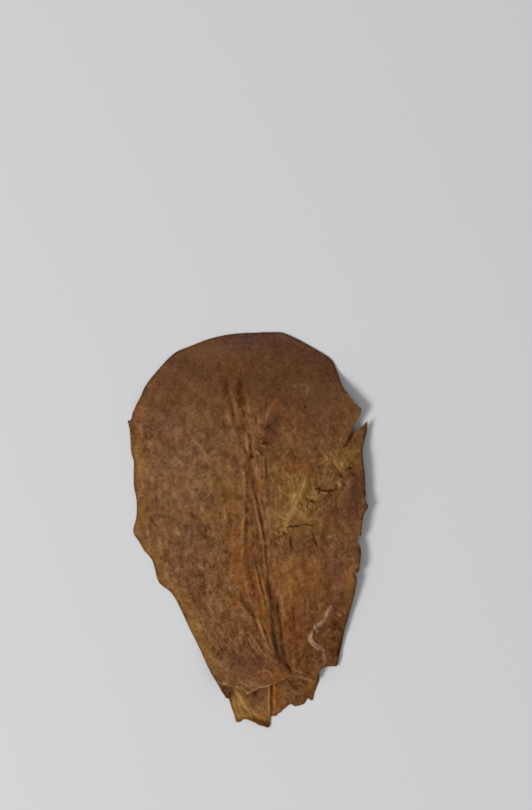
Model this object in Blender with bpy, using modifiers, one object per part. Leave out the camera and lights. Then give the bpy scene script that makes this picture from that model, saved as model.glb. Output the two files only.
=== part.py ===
"""A dried Indian almond leaf lying upper face up on the surface that it rests on.

The leaf is one piece. Its blade is torn across near the stalk, and the torn foot has slid a little way under
the blade, where the fibres of the midrib still hold it. Tables are in millimetres and the mesh is in metres.
+Y points to the leaf's tip, +Z is up, and the origin is under the middle of the leaf, on the surface.
"""

import bpy
import numpy as np
from mathutils import Vector
from mathutils.geometry import delaunay_2d_cdt

MM = 0.001

# Driving dimensions of the whole leaf
LEAF_WIDTH = 66.7
LEAF_LENGTH = 109.8
BLADE_THICKNESS = 0.65
CROWN_HEIGHT = 5.0
MIDRIB_DEPTH = 1.1
VEIN_DEPTH = 0.4

# Size of the triangles
ROWS_PER_VEIN = 6
ROW_POINT_PITCH = 1.9
FOOT_LATTICE_PITCH = 1.9
RIM_PITCH = 1.9
CHAIN_PITCH = 1.6
LONGEST_CHAIN_EDGE = 2.2
LEAST_GAP = 0.55
CURVE_STEP = 0.1
SAME_POINT = 1e-5

# The blade's outline, clockwise from the spike on its left margin. A grown margin bends, a torn one has corners.
TIP_MARGIN = [
    (-32.4, 30.6), (-31.7, 33.1), (-29.9, 36.6), (-28.1, 40.4), (-24.4, 45.0), (-20.3, 49.1), (-16.0, 51.0),
    (-10.5, 53.1), (-4.9, 54.3), (0.6, 54.7), (7.6, 54.9), (10.4, 54.5), (15.9, 51.9), (22.9, 47.6),
    (24.8, 44.2), (26.2, 40.3), (27.2, 38.5),
]
SHOULDER_TEAR = [
    (27.9, 38.1), (28.4, 36.9), (31.6, 33.6), (31.2, 31.8), (29.4, 29.3), (29.2, 28.1), (29.9, 27.5),
    (31.5, 28.5), (33.3, 30.2),
]
RIGHT_MARGIN = [
    (33.0, 26.8), (31.9, 22.2), (32.4, 16.7), (32.8, 11.1), (32.8, 8.3), (33.4, 6.4), (32.1, 3.9), (31.5, -1.4),
]
RIGHT_NICK = [(30.7, -1.9), (30.4, -3.3), (31.2, -4.4)]
LOWER_RIGHT_MARGIN = [
    (31.5, -6.1), (30.9, -11.1), (29.9, -11.9), (30.3, -13.9), (29.3, -19.4), (27.0, -27.8), (25.4, -35.3),
    (24.8, -37.9),
]
FOOT_TEAR = [
    (22.4, -37.8), (21.1, -38.1), (20.2, -38.8), (19.5, -41.4), (18.1, -41.8), (16.3, -40.7), (13.8, -39.4),
    (12.3, -40.4), (8.7, -41.9), (6.1, -43.2), (3.1, -43.9), (1.4, -44.9), (0.0, -45.4), (-0.9, -44.7),
    (-2.9, -43.6), (-5.9, -42.9), (-8.5, -42.2),
]
LEFT_MARGIN = [
    (-10.5, -38.8), (-13.3, -32.8), (-16.0, -27.5), (-18.3, -22.5), (-20.8, -17.9), (-23.5, -15.6),
    (-24.9, -13.9), (-26.4, -8.6), (-28.7, -5.7), (-30.1, -3.3), (-31.7, -0.5), (-30.9, 3.5), (-30.8, 7.8),
    (-31.6, 12.9), (-31.6, 18.7), (-32.3, 21.7), (-32.7, 27.5), (-33.3, 30.3),
]

# The foot's outline: the torn end that shows, and the root that the blade hides
FOOT_TORN_END = [
    (20.0, -39.5), (19.9, -41.7), (18.4, -45.7), (18.1, -47.2), (17.6, -47.4), (16.9, -46.6), (15.5, -48.5),
    (13.3, -49.0), (11.8, -48.3), (9.2, -50.5), (7.7, -51.7), (6.3, -51.7), (6.2, -54.3), (5.8, -54.9),
    (3.3, -54.2), (0.6, -52.8), (-1.1, -52.5), (-2.1, -53.3), (-3.1, -53.4), (-4.0, -50.3), (-5.2, -46.9),
    (-5.9, -46.8), (-8.4, -42.7),
]
FOOT_ROOT = [(-7.6, -40.0), (-8.0, -36.5), (-6.0, -31.5), (4.0, -30.0), (14.5, -31.0), (17.6, -36.0)]

# The dome spans the leaf's width at each station along its length: (y, middle x, half width)
STATIONS = [
    (54.9, 2.0, 3.0), (45.0, 0.1, 24.6), (35.0, 0.5, 31.0), (25.0, 0.2, 33.0), (10.0, 1.0, 32.2),
    (0.0, 0.5, 31.4), (-10.0, 2.6, 28.6), (-20.0, 5.0, 24.2), (-30.0, 5.8, 20.7), (-37.0, 6.5, 18.1),
    (-45.0, 6.5, 13.0), (-55.0, 5.0, 8.0),
]
WIDEST_HALF = 33.0
STATION_CURVE_DEGREE = 5

# The midrib, from the tip to the tear: (x, y). A pair such as (54, 45) is where it grows from nothing to full.
MIDRIB = [
    (-9.0, 54.0), (-5.5, 38.0), (-0.6, 26.0), (2.2, 14.0), (4.0, 1.0), (5.7, -12.0), (8.1, -26.0), (11.4, -37.5),
]
MIDRIB_CURVE_DEGREE = 4
MIDRIB_ENDS = (53.0, -40.0)
MIDRIB_HALF_WIDTH = 1.3
MIDRIB_SIDE_LINE = 1.7
MIDRIB_SHARE_AT_TIP = 0.25
MIDRIB_STARTS = (54.0, 45.0)
MIDRIB_THICKENS = (52.0, -20.0)
GROOVE_DEPTH = 0.55
GROOVE_AT_TIP = 0.25
GROOVE_DEEPENS = (45.0, -25.0)

# The side veins leave the midrib in pairs and bend towards the tip
VEIN_PAIRS = 8
LOWEST_VEIN = -36.0
VEIN_PITCH = 10.7
LEFT_VEIN_LEAD = 4.0
VEIN_SLOPE = 0.45
VEIN_BEND = 0.012
VEIN_START = 3.2
VEIN_REACH = 41.0
VEIN_HALF_WIDTH = 0.7
VEIN_THINS = (33.0, 12.0)
VEIN_SHORT_OF_MARGIN = 2.2
ROWS_FROM_VEIN = -3
PUFF_HEIGHT = 0.32
PUFF_STARTS = (1.0, 8.0)

# Where the dried blade lifts off the surface: (x, y), (reach in x, reach in y), height
LIFTS = [
    ((35.0, 8.0), (15.0, 25.0), 2.5),
    ((31.0, 36.0), (8.0, 7.0), 2.2),
    ((32.0, -20.0), (10.0, 16.0), 1.7),
    ((-9.0, -42.0), (11.0, 11.0), 2.4),
    ((20.0, -40.0), (14.0, 12.0), 1.2),
    ((-30.0, 38.0), (7.0, 8.0), 0.7),
]
SINK = 0.35
LEFT_ROLL_REACH = 4.0
LEFT_ROLL_DROP = 0.7
LEFT_ROLL_STARTS = (-36.0, -24.0)

# Two crossed waves that warp the whole blade: turn per millimetre in x and in y, and where it starts
SWELL_HEIGHT = 0.28
SWELL_WAVES = [(0.31, 0.17, 0.8), (-0.12, 0.24, 0.0)]

# Folds that run beside the midrib: path, half width, height
FOLDS = [
    ([(-0.8, 13.0), (-1.1, 2.0), (-1.4, -9.0)], 1.3, 0.4),
    ([(-2.1, -20.1), (3.4, -27.1), (7.6, -36.1)], 1.2, 0.45),
    ([(11.8, 2.8), (14.6, 9.0), (16.8, 16.7)], 1.4, 0.45),
]

# The tear in the lower right of the blade, and how far the strip beside it lies below the rest
STRIP_TEAR = [
    (24.5, -17.2), (23.0, -21.1), (21.1, -25.4), (18.9, -27.1), (17.4, -30.1), (19.7, -32.5), (21.5, -35.3),
    (21.1, -38.1),
]
STRIP_DROP = 0.55
STRIP_STEP_WIDTH = 0.8
STRIP_STARTS = (-15.2, -22.2)

# The foot is fused to the blade at its root, comes free of it before the tear, and lies on the surface beyond
FOOT_OVERLAP = 0.28
FOOT_COMES_FREE = (-31.5, -38.0)
FOOT_COMES_DOWN = (-38.0, -46.5)
FOOT_GAP_LEFT = 1.7
FOOT_GAP_RIGHT = 0.7
FOOT_GAP_GROWS = (12.0, -8.0)
FOOT_STEP_X = 6.4
FOOT_STEP_WIDTH = 0.7
FOOT_STEP_HEIGHT = 0.5
FOOT_STEP_STARTS = (-41.0, -43.5)
FOOT_STEP_GROWS = (-4.0, 3.0)
FOOT_STEP_ENDS = (-52.0, -32.0)
FOOT_FOLDS = [([(-3.0, -44.2), (-1.0, -47.0), (0.6, -49.2), (1.4, -51.4)], 1.0, 0.35)]

LEAF_COLOUR = (0.147, 0.060, 0.023, 1.0)
LEAF_ROUGHNESS = 0.8
SHARP_FROM = np.radians(40.0)


def ease(start, end, value):
    """0 at start, 1 at end, and smooth between them."""
    share = np.clip((value - start) / (end - start), 0.0, 1.0)
    return share * share * (3.0 - 2.0 * share)


def fitted(pairs, degree):
    """A polynomial through (y, value) pairs."""
    table = np.array(pairs)
    return np.polyfit(table[:, 0], table[:, 1], degree)


HALF_WIDTH_SQUARED = fitted([(y, half * half) for y, _, half in STATIONS], STATION_CURVE_DEGREE)
MIDDLE = fitted([(y, middle) for y, middle, _ in STATIONS], STATION_CURVE_DEGREE)
MIDRIB_X = fitted([(y, x) for x, y in MIDRIB], MIDRIB_CURVE_DEGREE)


def bent(points, pitch):
    """A smooth curve through the points, with about a point for each pitch."""
    knots = np.array(points)
    padded = np.vstack([2 * knots[0] - knots[1], knots, 2 * knots[-1] - knots[-2]])
    curve = [knots[0]]
    for before, start, end, after in zip(padded, padded[1:], padded[2:], padded[3:]):
        count = max(1, round(float(np.linalg.norm(end - start)) / pitch))
        for t in np.arange(1, count + 1) / count:
            a = 2 * start + (end - before) * t
            b = (2 * before - 5 * start + 4 * end - after) * t * t
            c = (3 * start - before - 3 * end + after) * t * t * t
            curve.append((a + b + c) / 2)
    return np.array(curve)


def straight(points, pitch):
    """The path through the points with straight sides, cut into lengths of about the pitch."""
    knots = np.array(points)
    path = [knots[0]]
    for start, end in zip(knots, knots[1:]):
        count = max(1, round(float(np.linalg.norm(end - start)) / pitch))
        path.extend(start + (end - start) * t for t in np.arange(1, count + 1) / count)
    return np.array(path)


def blade_outline():
    """The blade's rim, made of its grown and its torn stretches."""
    stretches = [
        bent(TIP_MARGIN, RIM_PITCH),
        straight([TIP_MARGIN[-1]] + SHOULDER_TEAR, RIM_PITCH)[1:],
        bent([SHOULDER_TEAR[-1]] + RIGHT_MARGIN, RIM_PITCH)[1:],
        straight([RIGHT_MARGIN[-1]] + RIGHT_NICK, RIM_PITCH)[1:],
        bent([RIGHT_NICK[-1]] + LOWER_RIGHT_MARGIN, RIM_PITCH)[1:],
        straight([LOWER_RIGHT_MARGIN[-1]] + FOOT_TEAR, RIM_PITCH)[1:],
        bent([FOOT_TEAR[-1]] + LEFT_MARGIN, RIM_PITCH)[1:],
    ]
    return np.vstack(stretches)


def foot_outline():
    """The foot's rim: its torn end and its hidden root."""
    return straight(FOOT_TORN_END + FOOT_ROOT + FOOT_TORN_END[:1], RIM_PITCH)[:-1]


def sides_of(path, closed):
    """The start and end points of a path's sides."""
    if closed:
        return path, np.roll(path, -1, axis=0)
    return path[:-1], path[1:]


def distance_to(x, y, path, closed=False):
    """How far each point lies from a path, and on which side: above 0 is right of its direction."""
    nearest = np.full(x.shape, np.inf)
    side = np.zeros(x.shape)
    for start, end in zip(*sides_of(np.asarray(path), closed)):
        run = end - start
        share = np.clip(((x - start[0]) * run[0] + (y - start[1]) * run[1]) / (run @ run), 0.0, 1.0)
        off_x = x - start[0] - share * run[0]
        off_y = y - start[1] - share * run[1]
        away = np.hypot(off_x, off_y)
        closer = away < nearest
        nearest = np.where(closer, away, nearest)
        side = np.where(closer, np.sign(off_x * run[1] - off_y * run[0]), side)
    return nearest, side


def inside(points, rim):
    """Which points lie inside a closed rim."""
    x, y = points[:, 0], points[:, 1]
    crossings = np.zeros(len(points), int)
    for (x0, y0), (x1, y1) in zip(*sides_of(rim, True)):
        spans = (y0 > y) != (y1 > y)
        if y0 != y1:
            crossings += spans & (x < x0 + (y - y0) * (x1 - x0) / (y1 - y0))
    return crossings % 2 == 1


def from_midrib(x, y):
    """How far each point lies to the right of the midrib."""
    return x - np.polyval(MIDRIB_X, y)


def vein_rise(out):
    """How far a side vein has risen towards the tip, that far out from the midrib."""
    return VEIN_SLOPE * out + VEIN_BEND * out * out


def vein_phase(x, y):
    """Whole numbers lie on the side veins, and the numbers between them on the blade between two veins."""
    off = from_midrib(x, y)
    lead = np.where(off < 0.0, LEFT_VEIN_LEAD, 0.0)
    return (y - vein_rise(np.abs(off)) - lead - LOWEST_VEIN) / VEIN_PITCH


def vein_path(number, side, rim, pitch, short_of_rim, start=0.0):
    """Points along one side vein, or along a line between two veins where the number isn't a whole one."""
    out = np.arange(VEIN_START, VEIN_REACH, CURVE_STEP)
    lead = LEFT_VEIN_LEAD if side < 0 else 0.0
    y = LOWEST_VEIN + number * VEIN_PITCH + lead + vein_rise(out)
    path = np.stack([np.polyval(MIDRIB_X, y) + side * out, y], axis=1)
    along = np.concatenate([[0.0], np.cumsum(np.linalg.norm(np.diff(path, axis=0), axis=1))])
    wanted = np.arange(start, along[-1], pitch)
    path = np.stack([np.interp(wanted, along, path[:, 0]), np.interp(wanted, along, path[:, 1])], axis=1)
    away, _ = distance_to(path[:, 0], path[:, 1], rim, closed=True)
    return path[inside(path, rim) & (away > short_of_rim)]


def crown(x, y):
    """The blade's shallow dome, which comes down to nothing at the margin."""
    half_squared = np.polyval(HALF_WIDTH_SQUARED, y)
    middle = np.polyval(MIDDLE, y)
    return CROWN_HEIGHT * (half_squared - (x - middle) ** 2) / WIDEST_HALF**2


def lifts(x, y):
    """The places where the margin has curled up off the surface."""
    total = np.zeros(x.shape)
    for (at_x, at_y), (reach_x, reach_y), height in LIFTS:
        total += height * np.exp(-(((x - at_x) / reach_x) ** 2) - ((y - at_y) / reach_y) ** 2)
    return total


def midrib_ridge(x, y):
    """1 along the midrib and nothing beside it or past its end at the tip."""
    return np.exp(-((from_midrib(x, y) / MIDRIB_HALF_WIDTH) ** 2)) * ease(*MIDRIB_STARTS, y)


def groove(x, y):
    """The sunk line of the midrib in the upper face, deepest towards the stalk."""
    depth = GROOVE_AT_TIP + (GROOVE_DEPTH - GROOVE_AT_TIP) * ease(*GROOVE_DEEPENS, y)
    return depth * midrib_ridge(x, y)


def folds(x, y, folded):
    """Raised folds along their paths."""
    total = np.zeros(x.shape)
    for path, half_width, height in folded:
        away, _ = distance_to(x, y, path)
        total += height * np.exp(-((away / half_width) ** 2))
    return total


def strip_step(x, y):
    """How far the strip at the lower right lies below the rest of the blade."""
    away, side = distance_to(x, y, STRIP_TEAR)
    return STRIP_DROP * ease(0.0, -STRIP_STEP_WIDTH, away * side) * ease(*STRIP_STARTS, y)


def left_roll(x, y):
    """How far the left margin is rolled down, in a narrow band along it."""
    away, _ = distance_to(x, y, LEFT_MARGIN)
    return LEFT_ROLL_DROP * ease(LEFT_ROLL_REACH, 0.0, away) * ease(*LEFT_ROLL_STARTS, y)


def puffs(x, y):
    """The blade's slight swelling between each vein and the next, and its broad waves."""
    between = 0.5 - 0.5 * np.cos(2.0 * np.pi * vein_phase(x, y))
    swell = SWELL_HEIGHT * np.prod([np.sin(a * x + b * y + c) for a, b, c in SWELL_WAVES], axis=0)
    return PUFF_HEIGHT * between * ease(*PUFF_STARTS, np.abs(from_midrib(x, y))) + swell


def blade_under(x, y):
    """Height of the blade's under face above the surface, without its veins."""
    height = crown(x, y) + lifts(x, y) + folds(x, y, FOLDS) + puffs(x, y)
    height -= groove(x, y) + strip_step(x, y) + left_roll(x, y) + SINK
    return np.maximum(height, 0.0)


def blade_upper(x, y):
    """Height of the blade's upper face."""
    return blade_under(x, y) + BLADE_THICKNESS


def vein_relief(x, y):
    """How far the midrib and the side veins stand out of the under face."""
    thickness = MIDRIB_SHARE_AT_TIP + (1.0 - MIDRIB_SHARE_AT_TIP) * ease(*MIDRIB_THICKENS, y)
    away = np.abs(from_midrib(x, y))
    phase = vein_phase(x, y)
    number = np.round(phase)
    off = np.abs(phase - number) * VEIN_PITCH
    real = (number >= 0) & (number < VEIN_PAIRS) & (away > MIDRIB_SIDE_LINE)
    side_veins = VEIN_DEPTH * np.exp(-((off / VEIN_HALF_WIDTH) ** 2)) * ease(*VEIN_THINS, away) * real
    return MIDRIB_DEPTH * thickness * midrib_ridge(x, y) + side_veins


def foot_upper(x, y):
    """Height of the foot's upper face."""
    free_gap = FOOT_GAP_RIGHT + (FOOT_GAP_LEFT - FOOT_GAP_RIGHT) * ease(*FOOT_GAP_GROWS, x)
    gap = -FOOT_OVERLAP + (free_gap + FOOT_OVERLAP) * ease(*FOOT_COMES_FREE, y)
    hung = blade_under(x, y) - gap
    half_step = FOOT_STEP_WIDTH / 2.0
    step = FOOT_STEP_HEIGHT * ease(FOOT_STEP_X + half_step, FOOT_STEP_X - half_step, x)
    step *= ease(*FOOT_STEP_STARTS, y) * ease(*FOOT_STEP_GROWS, x)
    lying = BLADE_THICKNESS + step + folds(x, y, FOOT_FOLDS)
    down = ease(*FOOT_COMES_DOWN, y)
    return np.maximum(hung * (1.0 - down) + lying * down, BLADE_THICKNESS)


def no_relief(x, y):
    """A face without veins."""
    return np.zeros(x.shape)


def spaced(points, others, gap):
    """The points that lie farther than gap from all the others, and from each other."""
    kept = list(others)
    for point in points:
        nearest = np.min(np.sum((np.array(kept) - point) ** 2, axis=1))
        if nearest > gap * gap:
            kept.append(point)
    return np.array(kept[len(others):]).reshape(-1, 2)


def rows_along_veins(rim):
    """Points all over the blade in rows that run with the side veins, each row shifted by half a step."""
    rows = []
    for row in range(ROWS_FROM_VEIN * ROWS_PER_VEIN, (VEIN_PAIRS + 1) * ROWS_PER_VEIN):
        shift = (row % 2) * ROW_POINT_PITCH / 2.0
        for side in (-1, 1):
            number = row / ROWS_PER_VEIN
            rows.append(vein_path(number, side, rim, ROW_POINT_PITCH, RIM_PITCH * LEAST_GAP, shift))
    return np.vstack(rows)


def lattice(rim, pitch):
    """Points inside a rim in level rows, each row shifted by half a pitch."""
    low, high = rim.min(axis=0), rim.max(axis=0)
    points = []
    for number, y in enumerate(np.arange(low[1], high[1], pitch * np.sqrt(3.0) / 2.0)):
        start = low[0] + (number % 2) * pitch / 2.0
        points.extend((x, y) for x in np.arange(start, high[0], pitch))
    points = np.array(points)
    return points[inside(points, rim)]


def fold_lines(folded):
    """The crest of each fold and a line on either side of it."""
    lines = []
    for path, half_width, _ in folded:
        crest = bent(path, CHAIN_PITCH)
        lines += [crest, crest + (half_width, 0.0), crest - (half_width, 0.0)]
    return lines


def blade_chains(rim):
    """The lines that the blade's triangles follow: its midrib, its tear, its folds and its veins."""
    y = np.arange(*MIDRIB_ENDS, -CHAIN_PITCH)
    beside = (0.0, -MIDRIB_SIDE_LINE, MIDRIB_SIDE_LINE)
    chains = [np.stack([np.polyval(MIDRIB_X, y) + off, y], axis=1) for off in beside]
    tear = straight(STRIP_TEAR, CHAIN_PITCH)
    chains += [tear, tear + (STRIP_STEP_WIDTH, 0.0)]
    chains += fold_lines(FOLDS)
    for number in range(VEIN_PAIRS):
        chains += [vein_path(number, side, rim, CHAIN_PITCH, VEIN_SHORT_OF_MARGIN) for side in (-1, 1)]
    return chains


def foot_chains():
    """The lines that the foot's triangles follow: the two sides of its step, and its folds."""
    y = np.arange(*FOOT_STEP_ENDS, CHAIN_PITCH)
    sides = (FOOT_STEP_X - FOOT_STEP_WIDTH / 2.0, FOOT_STEP_X + FOOT_STEP_WIDTH / 2.0)
    return [np.stack([np.full(y.shape, x), y], axis=1) for x in sides] + fold_lines(FOOT_FOLDS)


def flat_sheet(name, rim, chains, filler):
    """A flat sheet inside the rim, split into triangles that follow the chains of points."""
    points = rim
    edges = [(i, (i + 1) % len(rim)) for i in range(len(rim))]
    for chain in chains:
        kept = spaced(chain[inside(chain, rim)], points, CHAIN_PITCH * LEAST_GAP)
        steps = np.linalg.norm(np.diff(kept, axis=0), axis=1)
        first = len(points)
        edges.extend((first + i, first + i + 1) for i, step in enumerate(steps) if step < LONGEST_CHAIN_EDGE)
        points = np.vstack([points, kept])
    points = np.vstack([points, spaced(filler, points, ROW_POINT_PITCH * LEAST_GAP)])
    rim_face = list(range(len(rim)))
    filled = delaunay_2d_cdt([Vector(p) for p in points], edges, [rim_face], 1, SAME_POINT)
    mesh = bpy.data.meshes.new(name)
    mesh.from_pydata([(p.x, p.y, 0.0) for p in filled[0]], [], filled[2])
    return mesh


def thickened(name, mesh, collection):
    """The sheet as a closed solid, split alike on both faces."""
    sheet = bpy.data.objects.new(name + "_sheet", mesh)
    collection.objects.link(sheet)
    solidify = sheet.modifiers.new("Thickness", "SOLIDIFY")
    solidify.thickness = BLADE_THICKNESS
    solidify.offset = -1.0
    graph = bpy.context.evaluated_depsgraph_get()
    solid = bpy.data.meshes.new_from_object(sheet.evaluated_get(graph))
    bpy.data.objects.remove(sheet)
    solid.name = name
    part = bpy.data.objects.new(name, solid)
    collection.objects.link(part)
    return part


def shape(part, upper, relief, stretch, middle):
    """Moves the two faces of a flat solid to their real heights, and turns millimetres into metres."""
    points = np.array([v.co for v in part.data.vertices])
    x, y = points[:, 0], points[:, 1]
    on_top = points[:, 2] > -BLADE_THICKNESS / 2.0
    top = upper(x, y)
    bottom = np.maximum(top - BLADE_THICKNESS - relief(x, y), 0.0)
    height = np.where(on_top, top, bottom)
    placed = np.stack([(x - middle[0]) * stretch[0], (y - middle[1]) * stretch[1], height], axis=1) * MM
    part.data.vertices.foreach_set("co", placed.astype(np.float32).ravel())
    part.data.update()


def leaf_material():
    """Dried leaf, matt and brown."""
    material = bpy.data.materials.new("dried_leaf")
    material.use_nodes = True
    shader = material.node_tree.nodes["Principled BSDF"]
    shader.inputs["Base Color"].default_value = LEAF_COLOUR
    shader.inputs["Roughness"].default_value = LEAF_ROUGHNESS
    shader.inputs["Metallic"].default_value = 0.0
    return material


def new_collection(name):
    """A collection in the scene."""
    collection = bpy.data.collections.new(name)
    bpy.context.scene.collection.children.link(collection)
    return collection


def clear_scene():
    """Removes the objects that a new file starts with."""
    for found in list(bpy.data.objects):
        bpy.data.objects.remove(found, do_unlink=True)


def main():
    """Builds the leaf: the blade, with the foot joined to its under face."""
    clear_scene()
    leaf_collection = new_collection("indian_almond_leaf")
    cutters = new_collection("cutters")
    blade_rim = blade_outline()
    foot_rim = foot_outline()
    both = np.vstack([blade_rim, foot_rim])
    low, high = both.min(axis=0), both.max(axis=0)
    stretch = np.array([LEAF_WIDTH, LEAF_LENGTH]) / (high - low)
    middle = (low + high) / 2.0

    blade_sheet = flat_sheet("leaf", blade_rim, blade_chains(blade_rim), rows_along_veins(blade_rim))
    leaf = thickened("leaf", blade_sheet, leaf_collection)
    shape(leaf, blade_upper, vein_relief, stretch, middle)
    foot_sheet = flat_sheet("foot", foot_rim, foot_chains(), lattice(foot_rim, FOOT_LATTICE_PITCH))
    foot = thickened("foot", foot_sheet, cutters)
    shape(foot, foot_upper, no_relief, stretch, middle)
    foot.hide_render = True
    foot.display_type = "WIRE"

    union = leaf.modifiers.new("Foot", "BOOLEAN")
    union.operation = "UNION"
    union.solver = "EXACT"
    union.object = foot
    leaf.data.materials.append(leaf_material())
    leaf.data.shade_smooth()
    leaf.data.set_sharp_from_angle(angle=SHARP_FROM)


main()
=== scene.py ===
"""The looks of a dried Indian almond leaf that lies upper face up on a pale table.

The leaf is one thin sheet. Its blade is torn across near the stalk, and the torn foot lies a little way
under it. Lengths are in millimetres until a mesh is made, in the photograph's plane: +X to the right, +Y to
the leaf's tip, +Z up. The leaf is then fitted to the box of the solid that it stands for.
"""

from __future__ import annotations

import logging
from dataclasses import dataclass
from enum import Enum

import bpy
import numpy as np
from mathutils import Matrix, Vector
from mathutils.geometry import delaunay_2d_cdt
from mathutils.kdtree import KDTree


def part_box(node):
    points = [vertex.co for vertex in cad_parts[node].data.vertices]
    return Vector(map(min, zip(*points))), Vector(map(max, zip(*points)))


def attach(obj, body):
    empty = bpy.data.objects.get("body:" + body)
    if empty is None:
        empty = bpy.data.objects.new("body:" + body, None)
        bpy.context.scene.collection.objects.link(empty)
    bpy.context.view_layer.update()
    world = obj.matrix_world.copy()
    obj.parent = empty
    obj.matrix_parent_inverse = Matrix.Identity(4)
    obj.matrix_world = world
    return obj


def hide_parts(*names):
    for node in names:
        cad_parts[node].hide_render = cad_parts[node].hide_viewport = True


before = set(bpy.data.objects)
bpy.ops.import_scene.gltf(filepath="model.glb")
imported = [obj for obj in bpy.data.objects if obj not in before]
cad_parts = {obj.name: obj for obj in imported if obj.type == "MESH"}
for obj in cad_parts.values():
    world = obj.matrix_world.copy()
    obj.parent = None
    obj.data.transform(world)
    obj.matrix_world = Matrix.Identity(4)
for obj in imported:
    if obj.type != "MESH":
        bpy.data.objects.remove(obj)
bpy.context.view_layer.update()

log = logging.getLogger("dried_leaf")

Points = tuple[tuple[float, float], ...]
Pair = tuple[float, float]
Array = np.ndarray
Tree = bpy.types.NodeTree
Node = bpy.types.Node
Socket = bpy.types.NodeSocket

MM = 0.001
SAME_POINT = 1e-6

# Shares of a mesh's pitch: how close points may come, and how far the filling points are scattered
LINE_GAP = 0.55
FILLER_GAP = 0.6
SCATTER = 0.3

# The name of the places along the fibres that the mesh hands to the finish
FIBRE_PLACE = "fibre_place"


def linear(colour: str) -> tuple[float, float, float, float]:
    """Turns an sRGB hex colour into the linear colour that a shader takes.

    Args:
        colour: Six hex digits after a hash sign.

    Returns:
        Red, green, blue and an alpha of 1.
    """
    shares = [int(colour[i:i + 2], 16) / 255.0 for i in (1, 3, 5)]
    red, green, blue = (s / 12.92 if s <= 0.04045 else ((s + 0.055) / 1.055) ** 2.4 for s in shares)
    return red, green, blue, 1.0


def ease(start: float, end: float, value: Array) -> Array:
    """Returns 0 at start, 1 at end, and a smooth rise between them."""
    share = np.clip((value - start) / (end - start), 0.0, 1.0)
    return share * share * (3.0 - 2.0 * share)


def bell(away: Array, half_width: float | Array) -> Array:
    """Returns 1 on a line and less away from it, as a bell curve of that half width."""
    return np.exp(-((away / half_width) ** 2))


def crests(waves: Array, half_width: float) -> Array:
    """Returns 1 where the waves pass through 0, and less beside that, down to 0 at the half width."""
    return np.maximum(1.0 - np.abs(waves) / half_width, 0.0)


def drawn(points: Points, pitch: float, smooth: bool = True) -> Array:
    """Draws a line through some points.

    Args:
        points: The points that it passes.
        pitch: About how far apart the line's own points are.
        smooth: Whether the line is a smooth curve, not straight from point to point.

    Returns:
        The line's points, one row each.
    """
    knots = np.array(points)
    padded = np.vstack([2 * knots[0] - knots[1], knots, 2 * knots[-1] - knots[-2]])
    line = [knots[0]]
    for before, start, end, after in zip(padded, padded[1:], padded[2:], padded[3:]):
        count = max(1, round(float(np.linalg.norm(end - start)) / pitch))
        for t in np.arange(1, count + 1) / count:
            if smooth:
                a = 2 * start + (end - before) * t
                b = (2 * before - 5 * start + 4 * end - after) * t * t
                c = (3 * start - before - 3 * end + after) * t * t * t
                line.append((a + b + c) / 2)
            else:
                line.append(start + (end - start) * t)
    return np.array(line)


@dataclass(frozen=True)
class Noise:
    """Smooth random relief over a plane, from about -1 to 1, the same on each run."""

    seed: int
    grain: float
    octaves: int = 1
    cells: int = 128

    def at(self, x: Array, y: Array) -> Array:
        """Works out the noise, its finer octaves added at half the height each.

        Args:
            x: Places one way.
            y: Places the other way.

        Returns:
            The noise at each point.
        """
        rng = np.random.default_rng(self.seed)
        total = np.zeros(np.shape(x))
        for octave in range(self.octaves):
            angles = rng.random((self.cells, self.cells)) * 2.0 * np.pi
            total += self._layer(angles, x * 2**octave / self.grain, y * 2**octave / self.grain) / 2**octave
        return total

    def _layer(self, angles: Array, u: Array, v: Array) -> Array:
        """Works out one octave of gradient noise.

        Args:
            angles: The direction of the slope at each crossing of the grid.
            u: Places one way, in cells of the grid.
            v: Places the other way.

        Returns:
            The octave at each point.
        """
        i, j = np.floor(u).astype(int), np.floor(v).astype(int)
        fu, fv = u - i, v - j
        corners = []
        for di, dj in ((0, 0), (1, 0), (0, 1), (1, 1)):
            angle = angles[(i + di) % self.cells, (j + dj) % self.cells]
            corners.append(np.cos(angle) * (fu - di) + np.sin(angle) * (fv - dj))
        su, sv = ease(0.0, 1.0, fu), ease(0.0, 1.0, fv)
        low = corners[0] * (1.0 - su) + corners[1] * su
        high = corners[2] * (1.0 - su) + corners[3] * su
        return (low * (1.0 - sv) + high * sv) * np.sqrt(2.0)


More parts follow.
